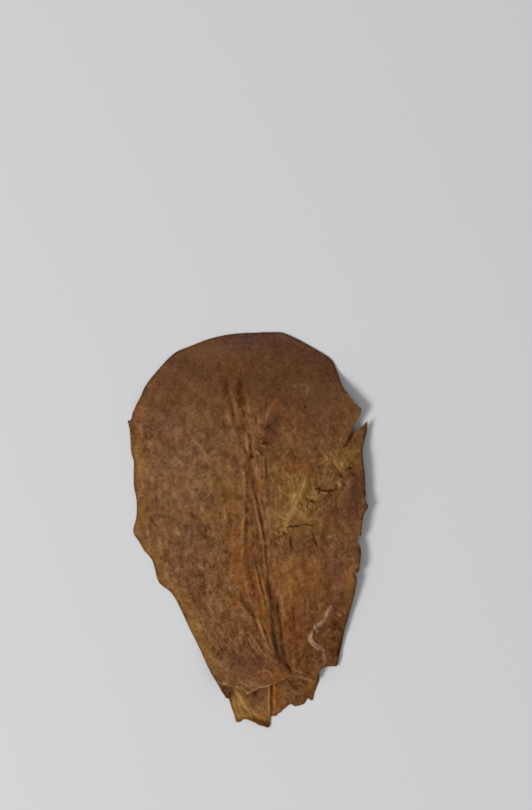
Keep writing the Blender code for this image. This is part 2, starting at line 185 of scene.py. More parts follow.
@dataclass(frozen=True)
class Polyline:
    """A path or a closed rim in the leaf's plane."""

    points: Array
    closed: bool = False

    def sides(self) -> tuple[Array, Array]:
        """Returns the start and end points of its sides."""
        after = np.roll(self.points, -1, axis=0)
        return (self.points, after) if self.closed else (self.points[:-1], after[:-1])

    def nearest(self, x: Array, y: Array, reach: float = 1e3) -> tuple[Array, Array, Array]:
        """Finds how far points lie from the path.

        Args:
            x: Places across the leaf.
            y: Places along the leaf.
            reach: Points farther than this needn't be measured.

        Returns:
            The distance, the side (above 0 is right of the path's direction) and the nearest side's number.
        """
        away = np.full(np.shape(x), reach)
        side = np.zeros(np.shape(x))
        number = np.zeros(np.shape(x), int)
        for i, (start, end) in enumerate(zip(*self.sides())):
            low, high = np.minimum(start, end) - reach, np.maximum(start, end) + reach
            near = np.flatnonzero((x > low[0]) & (x < high[0]) & (y > low[1]) & (y < high[1]))
            run = end - start
            dx, dy = x[near] - start[0], y[near] - start[1]
            share = np.clip((dx * run[0] + dy * run[1]) / (run @ run), 0.0, 1.0)
            off_x, off_y = dx - share * run[0], dy - share * run[1]
            distance = np.hypot(off_x, off_y)
            closer = distance < away[near]
            taken = near[closer]
            away[taken] = distance[closer]
            side[taken] = np.sign(off_x * run[1] - off_y * run[0])[closer]
            number[taken] = i
        return away, side, number

    def holds(self, points: Array) -> Array:
        """Finds which points lie inside the closed rim.

        Args:
            points: The points, one row each.

        Returns:
            True for each point inside.
        """
        x, y = points[:, 0], points[:, 1]
        crossings = np.zeros(len(points), int)
        for (x0, y0), (x1, y1) in zip(*self.sides()):
            if y0 != y1:
                spans = np.flatnonzero((y0 > y) != (y1 > y))
                crossings[spans] += x[spans] < x0 + (y[spans] - y0) * (x1 - x0) / (y1 - y0)
        return crossings % 2 == 1

    def leftward(self) -> Array:
        """Works out the direction to the left at each point, which is outward on a clockwise rim.

        Returns:
            A vector of length 1 for each point.
        """
        if self.closed:
            run = np.roll(self.points, -1, axis=0) - np.roll(self.points, 1, axis=0)
        else:
            run = np.gradient(self.points, axis=0)
        return np.stack([-run[:, 1], run[:, 0]], axis=1) / np.linalg.norm(run, axis=1)[:, None]

    def strands(self, spacing: float, count: int) -> list[Array]:
        """Draws lines beside the path, for a mesh to follow.

        Args:
            spacing: How far apart the lines are.
            count: How many there are to each side.

        Returns:
            The lines, the path itself first.
        """
        leftward = self.leftward() * spacing
        return [self.points + leftward * offset for offset in sorted(range(-count, count + 1), key=abs)]


class Edge(Enum):
    """How a stretch of the leaf's outline came about."""

    GROWN = "grown"
    TORN = "torn"


@dataclass(frozen=True)
class Stretch:
    """A stretch of an outline. Paleness is how much bare pale fibre its edge shows, from 0 to 1, and also
    how much painted highlight a torn edge gets where it catches the light.
    """

    edge: Edge
    points: Points
    paleness: float = 0.0


@dataclass(frozen=True)
class Rim:
    """An outline at the mesh's own spacing, with a paleness for each of its points."""

    line: Polyline
    paleness: Array


@dataclass(frozen=True)
class Outline:
    """An outline made of grown and torn stretches, which runs clockwise."""

    stretches: tuple[Stretch, ...]
    wobble: float = 0.05
    wobble_grain: float = 2.4
    tatter: float = 0.17
    tatter_grain: float = 0.8

    def rim(self, pitch: float) -> Rim:
        """Draws the outline, with a slight waver where it grew and tatters where it tore.

        Args:
            pitch: About how far apart the rim's points are.

        Returns:
            The rim.
        """
        path, paleness, torn = [], [], []
        last = self.stretches[-1].points[-1]
        for stretch in self.stretches:
            is_torn = stretch.edge is Edge.TORN
            points = drawn((last,) + stretch.points, pitch, smooth=not is_torn)[1:]
            path.append(points)
            paleness.append(np.full(len(points), stretch.paleness))
            torn.append(np.full(len(points), float(is_torn)))
            last = stretch.points[-1]
        line = Polyline(np.vstack(path), closed=True)
        along = np.cumsum(np.linalg.norm(line.points - np.roll(line.points, 1, axis=0), axis=1))
        waver = self.wobble * Noise(3, self.wobble_grain).at(along, along * 0.0)
        tatters = self.tatter * Noise(4, self.tatter_grain, octaves=2).at(along, along * 0.0)
        moved = line.points + line.leftward() * (waver + tatters * np.concatenate(torn))[:, None]
        return Rim(Polyline(moved, closed=True), np.concatenate(paleness))


BLADE_OUTLINE = Outline((
    Stretch(Edge.GROWN, (
        (-32.4, 30.6), (-31.7, 33.1), (-29.9, 36.6), (-28.1, 40.4), (-24.4, 45.0), (-20.3, 49.1),
        (-16.0, 51.0), (-10.5, 53.1), (-4.9, 54.3), (0.6, 54.7), (7.6, 54.9), (10.4, 54.5), (15.9, 51.9),
        (22.9, 47.6), (24.8, 44.2), (26.2, 40.3), (27.2, 38.5),
    )),
    Stretch(Edge.TORN, (
        (27.9, 38.1), (28.4, 36.9), (31.6, 33.6), (31.2, 31.8), (29.4, 29.3), (29.2, 28.1), (29.9, 27.5),
        (31.5, 28.5), (33.3, 30.2),
    ), paleness=0.35),
    Stretch(Edge.GROWN, (
        (33.0, 26.8), (31.9, 22.2), (32.4, 16.7), (32.8, 11.1), (32.8, 8.3), (33.4, 6.4), (32.1, 3.9),
        (31.5, -1.4),
    )),
    Stretch(Edge.TORN, ((30.7, -1.9), (30.4, -3.3), (31.2, -4.4)), paleness=0.2),
    Stretch(Edge.GROWN, (
        (31.5, -6.1), (30.9, -11.1), (29.9, -11.9), (30.3, -13.9), (29.3, -19.4), (27.0, -27.8),
        (25.4, -35.3), (24.8, -37.9),
    )),
    Stretch(Edge.TORN, (
        (22.4, -37.8), (21.1, -38.1), (20.2, -38.8), (19.5, -41.4), (18.1, -41.8), (16.3, -40.7),
        (13.8, -39.4), (12.3, -40.4),
    ), paleness=0.2),
    Stretch(Edge.TORN, ((8.7, -41.9), (6.1, -43.2), (3.1, -43.9), (1.4, -44.9), (0.0, -45.4)), paleness=1.0),
    Stretch(Edge.TORN, ((-0.9, -44.7), (-2.9, -43.6), (-5.9, -42.9), (-8.5, -42.2)), paleness=0.6),
    Stretch(Edge.GROWN, (
        (-10.5, -38.8), (-13.3, -32.8), (-16.0, -27.5), (-18.3, -22.5), (-20.8, -17.9), (-23.5, -15.6),
        (-24.9, -13.9), (-26.4, -8.6), (-28.7, -5.7), (-30.1, -3.3), (-31.7, -0.5), (-30.9, 3.5),
        (-30.8, 7.8), (-31.6, 12.9), (-31.6, 18.7), (-32.3, 21.7), (-32.7, 27.5), (-33.3, 30.3),
    )),
))

FOOT_OUTLINE = Outline((
    Stretch(Edge.TORN, (
        (20.0, -39.5), (19.9, -41.7), (18.4, -45.7), (18.1, -47.2), (17.6, -47.4), (16.9, -46.6),
        (15.5, -48.5), (13.3, -49.0), (11.8, -48.3), (9.2, -50.5), (7.7, -51.7), (6.3, -51.7), (6.2, -54.3),
        (5.8, -54.9), (3.3, -54.2), (0.6, -52.8), (-1.1, -52.5), (-2.1, -53.3), (-3.1, -53.4), (-4.0, -50.3),
        (-5.2, -46.9), (-5.9, -46.8), (-8.4, -42.7),
    ), paleness=0.15),
    Stretch(Edge.TORN, (
        (-7.6, -40.0), (-8.0, -36.5), (-6.0, -31.5), (4.0, -30.0), (14.5, -31.0), (17.6, -36.0),
    )),
))


@dataclass(frozen=True)
class Midrib:
    """The leaf's main rib: a sunk line in the upper face, a standing rib under it.

    A pair of places along the leaf says where something begins to show and where it shows in full.
    """

    course: Points = (
        (-9.0, 54.0), (-5.5, 38.0), (-0.6, 26.0), (2.2, 14.0), (4.0, 1.0), (5.7, -12.0), (8.1, -26.0),
        (11.4, -37.5),
    )
    degree: int = 4
    half_width: float = 1.3
    rib_depth: float = 1.1
    rib_at_tip: float = 0.25
    groove_depth: float = 0.55
    groove_at_tip: float = 0.25
    starts: Pair = (54.0, 45.0)
    thickens: Pair = (52.0, -20.0)
    groove_deepens: Pair = (45.0, -25.0)
    waver: float = 0.35
    waver_noise: Noise = Noise(54, 6.0, octaves=3)
    crest_off: float = 0.75
    crest_half_width: float = 0.28
    crest_starts: Pair = (4.0, -1.0)
    crest_ends: Pair = (-20.0, -12.0)
    furrow_half_width: float = 0.32
    furrow_starts: Pair = (1.0, -3.0)
    furrow_ends: Pair = (-27.0, -16.0)
    band_edge: Pair = (1.0, 0.5)
    band_growth: Pair = (0.9, 0.6)
    band_broadens: Pair = (-6.0, -30.0)
    band_shift: float = 0.9
    band_shifts: Pair = (-25.0, -33.0)
    band_darkens: Pair = (-3.0, -16.0)
    band_darkest: Pair = (-24.0, -31.0)
    band_shade: Pair = (0.7, 0.3)
    band_ends: Pair = (-38.0, -33.5)

    def x_at(self, y: Array) -> Array:
        """Returns the midrib's place across the leaf at each place along it."""
        table = np.array(self.course)
        return np.polyval(np.polyfit(table[:, 1], table[:, 0], self.degree), y)

    def off(self, x: Array, y: Array) -> Array:
        """Returns how far each point lies to the right of the midrib."""
        return x - self.x_at(y)

    def ridge(self, x: Array, y: Array) -> Array:
        """Returns 1 along the midrib and nothing beside it or past its end at the tip."""
        return bell(self.off(x, y), self.half_width) * ease(*self.starts, y)

    def groove(self, x: Array, y: Array) -> Array:
        """Returns how deep the midrib's broad groove is."""
        deepens = (self.groove_depth - self.groove_at_tip) * ease(*self.groove_deepens, y)
        return (self.groove_at_tip + deepens) * self.ridge(x, y)

    def wavering(self, x: Array, y: Array) -> Array:
        """Returns how far each point lies to the right of the midrib's fine lines, which waver a little."""
        return self.off(x, y) + self.waver * self.waver_noise.at(x, y)

    def crest(self, x: Array, y: Array) -> Array:
        """Returns 1 on the narrow crest to the left of the furrow, which is raised and given a painted
        highlight.
        """
        across = bell(self.wavering(x, y) + self.crest_off, self.crest_half_width)
        return across * ease(*self.crest_starts, y) * ease(*self.crest_ends, y)

    def furrow(self, x: Array, y: Array) -> Array:
        """Returns 1 in the narrow furrow of the midrib's lower half."""
        across = bell(self.wavering(x, y), self.furrow_half_width)
        return across * ease(*self.furrow_starts, y) * ease(*self.furrow_ends, y)

    def band(self, x: Array, y: Array) -> Array:
        """Marks the broad dark band that the midrib becomes towards the stalk.

        Args:
            x: Places across the leaf.
            y: Places along the leaf.

        Returns:
            1 where the band is darkest, and 0 beside it.
        """
        broadens = ease(*self.band_broadens, y)
        outer, inner = (edge + more * broadens for edge, more in zip(self.band_edge, self.band_growth))
        off = self.wavering(x, y) + self.band_shift * ease(*self.band_shifts, y)
        first, then = self.band_shade
        darkens = first * ease(*self.band_darkens, y) + then * ease(*self.band_darkest, y)
        return ease(outer, inner, np.abs(off)) * darkens * ease(*self.band_ends, y)

    def rib(self, x: Array, y: Array) -> Array:
        """Returns how far the rib stands out of the under face."""
        thickness = self.rib_at_tip + (1.0 - self.rib_at_tip) * ease(*self.thickens, y)
        return self.rib_depth * thickness * self.ridge(x, y)


@dataclass(frozen=True)
class SideVeins:
    """The pairs of veins that leave the midrib and bend towards the tip."""

    midrib: Midrib
    pairs: int = 8
    lowest: float = -36.0
    pitch: float = 10.7
    left_lead: float = 4.0
    slope: float = 0.45
    bend: float = 0.012
    depth: float = 0.4
    half_width: float = 0.7
    thins: Pair = (33.0, 12.0)
    clear_of_midrib: float = 1.7
    puff: float = 0.32
    puff_starts: Pair = (1.0, 8.0)
    line_half_width: float = 0.22

    def phase(self, x: Array, y: Array) -> Array:
        """Numbers the side veins.

        Args:
            x: Places across the leaf.
            y: Places along the leaf.

        Returns:
            A number that is whole on each side vein.
        """
        off = self.midrib.off(x, y)
        out = np.abs(off)
        lead = np.where(off < 0.0, self.left_lead, 0.0)
        return (y - self.slope * out - self.bend * out * out - lead - self.lowest) / self.pitch

    def closeness(self, x: Array, y: Array, half_width: float) -> Array:
        """Works out how close to a side vein points lie.

        Args:
            x: Places across the leaf.
            y: Places along the leaf.
            half_width: How far from its middle a vein still shows.

        Returns:
            1 on a side vein and less beside it.
        """
        phase = self.phase(x, y)
        number = np.round(phase)
        out = np.abs(self.midrib.off(x, y))
        real = (number >= 0) & (number < self.pairs) & (out > self.clear_of_midrib)
        return bell(np.abs(phase - number) * self.pitch, half_width) * real * ease(*self.thins, out)

    def puffs(self, x: Array, y: Array) -> Array:
        """Returns the blade's slight swelling between each vein and the next."""
        between = 0.5 - 0.5 * np.cos(2.0 * np.pi * self.phase(x, y))
        return self.puff * between * ease(*self.puff_starts, np.abs(self.midrib.off(x, y)))


@dataclass(frozen=True)
class Fold:
    """A broad soft ridge along a path, which the solid has too."""

    path: Points
    half_width: float
    height: float

    def closeness(self, x: Array, y: Array) -> Array:
        """Returns 1 on the fold's crest and less beside it."""
        away, _, _ = Polyline(np.array(self.path)).nearest(x, y, self.half_width * 3.0)
        return bell(away, self.half_width) * (away < self.half_width * 3.0)


@dataclass(frozen=True)
class Crease:
    """A fine line in the upper face: a crest if its height is above 0, else a furrow.

    Tint is how much lighter (above 0) or darker the tissue is coloured along it: partly its own colour,
    partly painted highlight on a crest and painted shade in a furrow. The line wavers from its path by up to
    the waver, over lengths of the waver's grain, and it fades in and out as far as it is broken.
    """

    path: Points
    half_width: float
    height: float
    tint: float
    broken: float = 0.7
    waver: float = 0.28
    waver_grain: float = 2.6
    breaks: Pair = (-0.25, 0.35)
    end_width: float = 0.45
    end_strength: float = 0.4

    def line(self, pitch: float = 0.3) -> Array:
        """Draws the wavering line.

        Args:
            pitch: About how far apart its points are.

        Returns:
            The line's points, one row each.
        """
        line = drawn(self.path, pitch)
        shifts = [Noise(seed, self.waver_grain, octaves=2).at(line[:, 0], line[:, 1]) for seed in (51, 52)]
        return line + self.waver * np.stack(shifts, axis=1)

    def closeness(self, x: Array, y: Array) -> Array:
        """Works out how strong the line is.

        Args:
            x: Places across the leaf.
            y: Places along the leaf.

        Returns:
            1 on the line and less beside it, towards its ends and where it is broken.
        """
        line = self.line()
        reach = self.half_width * 3.0
        away, _, number = Polyline(line).nearest(x, y, reach)
        near = np.flatnonzero(away < reach)
        taper = np.sin(np.pi * (number[near] + 0.7) / (len(line) + 0.4))
        kept = 1.0 - self.broken * ease(*self.breaks, Noise(53, 1.7, octaves=2).at(x[near], y[near]))
        width = self.half_width * (self.end_width + (1.0 - self.end_width) * taper)
        strength = self.end_strength + (1.0 - self.end_strength) * taper
        result = np.zeros(np.shape(x))
        result[near] = bell(away[near], width) * strength * kept
        return result


@dataclass(frozen=True)
class Crack(Crease):
    """A split in the dry tissue, more jagged than a crease, dark partly from its own torn tissue and partly
    from painted shade inside it.
    """

    broken: float = 0.35
    waver: float = 0.3
    waver_grain: float = 0.9


@dataclass(frozen=True)
class Strand(Crease):
    """A pale strand of bare fibre that holds a tear together. Its tint is how pale it is."""

    broken: float = 0.4
    waver: float = 0.12
    waver_grain: float = 0.9


@dataclass(frozen=True)
class Patch:
    """A soft-edged oval where the leaf's colour or relief differs: its centre, its reach and how much."""

    x: float
    y: float
    across: float
    along: float
    strength: float

    def share(self, x: Array, y: Array) -> Array:
        """Returns the patch's strength at each point."""
        across, along = (x - self.x) / self.across, (y - self.y) / self.along
        return self.strength * np.exp(-(across**2) - along**2)


def creases(kind: type[Crease], *rows: tuple) -> tuple[Crease, ...]:
    """Makes creases from rows of their fields: path, half width, height, tint, how broken, waver."""
    return tuple(kind(*row) for row in rows)


# The broad folds of the blade, which the solid has too
FOLDS = (
    Fold(((-0.8, 13.0), (-1.1, 2.0), (-1.4, -9.0)), 1.3, 0.4),
    Fold(((-2.1, -20.1), (3.4, -27.1), (7.6, -36.1)), 1.2, 0.45),
    Fold(((11.8, 2.8), (14.6, 9.0), (16.8, 16.7)), 1.4, 0.45),
)

# Crests and furrows beside the midrib, from the tip down
MIDRIB_CREASES = creases(
    Crease,
    (((-5.8, 42.2), (-5.9, 39.8), (-6.0, 37.4)), 0.8, -0.14, -0.6, 0.3),
    (((11.4, 39.4), (13.6, 40.0), (15.8, 40.8)), 0.42, 0.1, 0.8),
    (((15.6, 40.9), (16.6, 39.6), (16.4, 37.4)), 0.38, 0.1, 0.8),
    (((-2.8, 41.6), (-2.2, 39.2), (-1.6, 36.6), (-1.2, 33.2)), 1.0, -0.14, -0.9, 0.4),
    (((-4.4, 38.8), (-3.4, 35.2), (-2.8, 31.7), (-1.8, 29.7)), 0.48, 0.14, 0.7, 0.5),
    (((-5.8, 33.6), (-5.2, 31.6), (-4.3, 29.4)), 0.45, 0.14, 0.8, 0.4),
    (((-4.5, 34.6), (-4.2, 32.6), (-3.9, 30.6)), 0.42, -0.14, -0.9, 0.4),
    (((-6.9, 33.8), (-6.7, 32.0)), 0.4, -0.12, -1.0),
    (((-6.6, 30.8), (-6.4, 29.2)), 0.4, -0.12, -1.0),
    (((-1.5, 34.0), (-1.2, 32.8), (-1.0, 31.6)), 0.4, -0.14, -1.5, 0.2),
    (((-0.5, 32.8), (0.2, 31.6)), 0.36, -0.1, -1.0, 0.3),
    (((0.2, 36.6), (0.6, 33.6), (0.9, 30.8)), 0.36, 0.08, 0.6),
    (((2.0, 32.6), (2.4, 30.2), (2.5, 27.8)), 0.3, -0.12, -0.9),
    (((2.6, 32.4), (3.0, 30.6), (3.2, 28.4)), 0.32, 0.12, 1.0),
    (((6.1, 34.4), (5.6, 32.6), (5.2, 31.0)), 0.42, 0.1, 1.0),
    (((5.4, 35.2), (5.2, 33.0)), 0.4, -0.08, -0.8),
    (((5.6, 32.2), (6.8, 34.2), (8.2, 36.2)), 0.42, 0.08, 0.7, 0.5),
    (((-1.4, 30.2), (-0.8, 27.8), (-0.2, 25.6)), 0.4, -0.12, -0.8, 0.5),
    (((0.2, 27.6), (0.6, 25.0), (1.0, 23.0), (1.3, 20.4)), 0.38, -0.16, -1.0, 0.3),
    (((-0.5, 27.0), (-0.1, 24.2), (0.3, 21.4)), 0.4, 0.14, 1.15, 0.3),
    (((2.5, 22.1), (2.9, 21.7), (3.4, 21.1)), 0.27, 0.16, 1.5, 0.1, 0.05),
    (((3.4, 21.9), (3.8, 21.5), (4.2, 20.9)), 0.26, -0.14, -1.2, 0.1, 0.05),
    (((5.0, 20.4), (5.2, 18.2), (5.4, 14.4)), 0.32, -0.18, -1.6, 0.2, 0.1),
    (((5.6, 18.0), (6.2, 15.6), (7.3, 13.4)), 0.32, 0.12, 0.9),
    (((7.6, 11.8), (7.9, 8.6), (8.0, 5.6)), 0.36, 0.12, 0.8),
    (((4.3, 20.0), (4.6, 18.0), (4.8, 14.8)), 0.36, 0.12, 0.7),
    (((2.4, 20.6), (2.6, 18.0), (2.4, 14.6)), 0.36, 0.12, 0.8),
    (((-2.0, 19.6), (-1.2, 15.6), (-1.2, 12.0)), 0.45, 0.12, 1.1),
    (((-0.6, 19.0), (-0.2, 15.6), (0.2, 11.6)), 0.36, -0.12, -0.9),
    (((0.9, 19.4), (1.4, 15.6), (1.8, 11.6)), 0.4, -0.14, -1.0),
    (((-0.7, 12.4), (-0.9, 8.6), (-1.0, 4.8)), 0.42, 0.12, 0.7),
    (((-0.9, 5.6), (-1.1, 1.6), (-1.0, -2.8)), 0.4, 0.18, 1.2, 0.3),
    (((-1.1, -2.6), (-1.3, -6.0), (-1.6, -9.4)), 0.42, 0.14, 0.8),
    (((-0.1, 11.0), (-0.1, 4.0), (-0.3, -4.0)), 0.5, -0.18, -1.0),
    (((1.5, 12.0), (2.3, 9.7), (3.0, 7.2), (3.6, 3.9), (4.2, 0.5), (4.6, -2.8)),
     0.32, -0.26, -1.35, 0.1, 0.08),
    (((3.1, 9.4), (3.8, 7.0), (4.4, 4.0), (4.9, 0.6), (5.2, -2.4)), 0.3, 0.12, 0.8, 0.4, 0.08),
    (((4.0, 8.6), (4.7, 5.8), (5.2, 3.4)), 0.34, -0.1, -0.7, 0.3),
    (((1.4, 10.8), (2.1, 7.8), (2.8, 4.2), (3.4, 0.6), (3.8, -3.6)), 0.34, 0.16, 1.2, 0.3, 0.08),
    (((0.9, 6.8), (1.5, 2.0), (1.9, -4.4)), 0.34, -0.14, -0.8),
    (((2.3, -8.4), (3.4, -13.6), (4.4, -17.6), (5.5, -21.2)), 0.3, -0.24, -1.3, 0.2),
    (((1.4, -7.6), (2.6, -12.6), (3.7, -17.4), (4.9, -22.0)), 0.28, 0.14, 0.9),
    (((3.6, -11.0), (4.7, -16.0), (6.1, -22.4)), 0.28, 0.14, 0.9),
    (((0.2, -9.0), (1.2, -14.0), (2.3, -19.0)), 0.34, -0.12, -0.9),
    (((-0.9, -12.0), (0.2, -17.0), (1.9, -22.6)), 0.38, 0.12, 1.0),
    (((-2.4, -19.6), (-0.2, -22.4), (1.7, -25.0)), 0.28, 0.14, 0.9),
    (((1.6, -21.8), (3.1, -25.2), (4.6, -29.4), (6.8, -34.4)), 0.28, 0.18, 1.15, 0.5),
    (((0.9, -22.4), (2.4, -26.2), (3.9, -30.2)), 0.3, -0.14, -0.9),
    (((3.6, -24.6), (5.0, -28.4), (6.8, -33.0)), 0.3, -0.14, -0.9),
    (((4.8, -25.0), (6.0, -29.0), (7.8, -34.6)), 0.26, 0.12, 0.9),
    (((-0.4, -27.0), (2.3, -31.0), (5.4, -35.4)), 0.3, 0.12, 0.9),
    (((0.6, -26.6), (3.2, -31.0), (6.0, -35.6)), 0.34, -0.12, -0.8),
    (((-1.6, -29.0), (1.2, -33.0), (4.4, -37.0)), 0.38, -0.1, -0.8),
    (((6.9, -22.0), (7.6, -27.0), (8.8, -32.0), (10.0, -36.4)), 0.3, 0.16, 0.7),
    (((6.2, -19.0), (7.2, -25.0), (8.2, -30.6)), 0.3, -0.16, -0.9),
    (((8.3, -18.6), (8.9, -24.4), (9.6, -30.4)), 0.28, -0.22, -1.5, 0.3, 0.12),
    (((9.2, -17.0), (10.0, -21.0), (10.6, -25.4)), 0.36, 0.12, 0.8),
    (((11.2, -8.0), (11.7, -14.0), (12.6, -21.0)), 0.34, 0.08, 0.7),
    (((13.0, -18.0), (12.9, -24.0), (13.4, -31.0)), 0.34, -0.08, -0.6),
)

# Short crests and furrows of the puckered part to the right, and faint ones elsewhere
WRINKLES = creases(
    Crease,
    (((17.2, 17.6), (15.7, 12.8), (13.6, 7.7), (13.1, 5.7), (11.9, 3.4), (10.9, 2.4)),
     0.42, 0.22, 1.3, 0.5),
    (((16.4, 18.0), (14.6, 12.6), (12.8, 8.4), (12.0, 5.6)), 0.34, 0.12, 0.9),
    (((7.5, 4.6), (8.5, 4.8), (9.7, 3.6), (10.5, 3.2), (11.4, 3.0)), 0.28, 0.14, 1.2, 0.4, 0.14),
    (((7.2, 3.9), (7.9, 3.6), (8.6, 4.3)), 0.28, 0.1, 0.9, 0.2),
    (((11.0, 3.4), (11.7, 4.7), (12.3, 5.7)), 0.28, 0.14, 1.25, 0.1, 0.1),
    (((10.3, 4.6), (11.0, 5.6), (11.2, 7.0)), 0.3, -0.1, -0.7, 0.3),
    (((9.6, 2.9), (10.4, 2.0), (10.9, 1.5)), 0.32, 0.12, 1.1, 0.2),
    (((8.6, 3.9), (9.5, 3.0), (10.3, 2.7)), 0.28, -0.12, -0.9, 0.3),
    (((10.8, 16.0), (11.2, 15.1)), 0.36, 0.14, 1.4, 0.1),
    (((13.9, 14.8), (14.3, 13.2), (14.0, 11.8)), 0.4, 0.12, 1.0),
    (((14.8, 5.3), (15.3, 4.1)), 0.42, 0.14, 1.1, 0.2),
    (((16.6, 7.6), (16.2, 6.4), (16.7, 4.8), (16.1, 3.4)), 0.28, 0.12, 1.0, 0.3),
    (((16.6, 9.8), (17.4, 9.2), (18.6, 9.1)), 0.28, 0.14, 1.2, 0.2),
    (((12.9, 10.6), (12.2, 8.4), (12.4, 6.4)), 0.42, 0.1, 0.8),
    (((8.4, 13.4), (9.3, 10.6), (9.2, 8.0)), 0.36, 0.1, 0.8),
    (((10.9, 13.4), (11.2, 11.0), (10.4, 8.6)), 0.4, -0.12, -0.6),
    (((12.1, 11.6), (12.5, 10.4)), 0.34, -0.1, -0.9, 0.2),
    (((18.6, 15.8), (18.1, 12.8), (18.9, 9.8)), 0.36, 0.12, 0.8),
    (((19.9, 14.6), (20.2, 12.2)), 0.36, 0.12, 0.9, 0.3),
    (((22.6, 14.4), (22.9, 12.8), (22.2, 11.8)), 0.32, 0.12, 0.8),
    (((24.1, 19.9), (24.6, 18.6), (25.0, 17.2)), 0.36, 0.14, 1.1, 0.3),
    (((27.9, 26.6), (27.3, 25.4), (26.8, 24.4)), 0.3, 0.1, 0.9, 0.3),
    (((30.1, 22.0), (30.9, 22.1)), 0.26, 0.05, 1.4, 0.0),
    (((20.3, 10.9), (21.2, 10.4), (22.0, 10.3)), 0.3, 0.12, 1.2, 0.1),
    (((25.1, 13.4), (25.8, 12.5)), 0.38, 0.14, 1.4, 0.1),
    (((26.6, 20.6), (26.0, 18.0), (26.8, 15.8)), 0.36, 0.12, 0.9),
    (((21.4, 21.4), (22.2, 18.8), (21.6, 16.4)), 0.36, 0.1, 0.7),
    (((7.3, -0.2), (8.2, -1.0), (9.0, -1.1), (9.7, -0.4)), 0.34, 0.12, 0.9, 0.5),
    (((9.2, -0.9), (9.7, 0.2), (10.6, 0.4), (11.2, -0.3)), 0.28, 0.12, 1.1, 0.3, 0.14),
    (((9.9, -0.2), (10.4, -0.9)), 0.28, -0.14, -1.2, 0.1),
    (((10.3, 0.3), (11.0, -0.2)), 0.26, 0.12, 1.1, 0.1),
    (((15.6, 2.9), (16.4, 5.2), (17.8, 6.6)), 0.36, 0.1, 0.8),
    (((19.6, 3.2), (21.4, 4.2), (23.2, 3.6)), 0.36, 0.1, 0.6),
    (((20.6, -0.8), (22.6, -1.8), (24.4, -1.2)), 0.4, 0.1, 0.7),
    (((16.0, -2.0), (16.4, -5.0), (16.0, -8.0)), 0.34, 0.08, 0.5),
    (((11.9, -1.6), (12.1, -3.4), (12.3, -5.8)), 0.32, -0.22, -1.8, 0.1, 0.1),
    (((17.9, -0.4), (18.6, -2.6), (19.5, -5.0)), 0.34, -0.22, -1.8, 0.1, 0.1),
    (((19.9, -3.8), (20.9, -5.4), (22.2, -7.6)), 0.36, -0.16, -1.0, 0.3, 0.14),
    (((5.6, 5.0), (6.3, 2.0), (6.4, -1.6)), 0.4, 0.1, 0.7),
    (((8.2, 0.8), (9.0, -2.6), (8.8, -6.0)), 0.4, -0.1, -0.6),
    (((21.8, -2.4), (23.6, -4.8), (25.0, -6.4)), 0.4, 0.1, 0.6),
    (((22.6, -6.4), (24.6, -8.2), (26.6, -8.8)), 0.36, 0.08, 0.6),
    (((18.5, -31.3), (19.5, -32.2)), 0.2, -0.08, -0.6, 0.1),
    (((25.2, -23.2), (25.7, -23.6)), 0.28, 0.05, 1.5, 0.0),
    (((26.8, -22.7), (27.2, -23.1)), 0.24, 0.05, 1.4, 0.0),
    (((-23.0, 24.0), (-19.0, 19.5), (-16.4, 14.6)), 0.45, 0.1, 0.5),
    (((-17.0, 27.6), (-13.2, 23.4), (-9.2, 18.2)), 0.36, 0.12, 0.9, 0.6),
    (((-12.6, 21.0), (-10.6, 18.2), (-9.0, 15.6)), 0.28, 0.1, 0.8),
    (((-17.6, 15.4), (-13.8, 7.8), (-8.8, 1.0)), 0.8, 0.2, 0.6, 0.4),
    (((-16.4, 5.6), (-14.0, 3.2), (-11.4, 0.8)), 0.6, -0.16, -1.0, 0.2),
    (((-6.4, 7.4), (-6.1, 4.6), (-5.8, 1.8)), 0.34, 0.12, 0.9),
    (((9.6, -40.4), (12.2, -38.7), (14.6, -39.2), (17.4, -40.6)), 0.25, 0.1, 0.8),
    (((2.9, -39.9), (4.2, -39.1), (5.6, -39.2), (6.8, -40.6), (6.9, -41.6)), 0.3, 0.14, 1.0),
    (((-3.4, -42.2), (-1.0, -42.8), (0.6, -44.2)), 0.3, 0.08, 0.6),
)

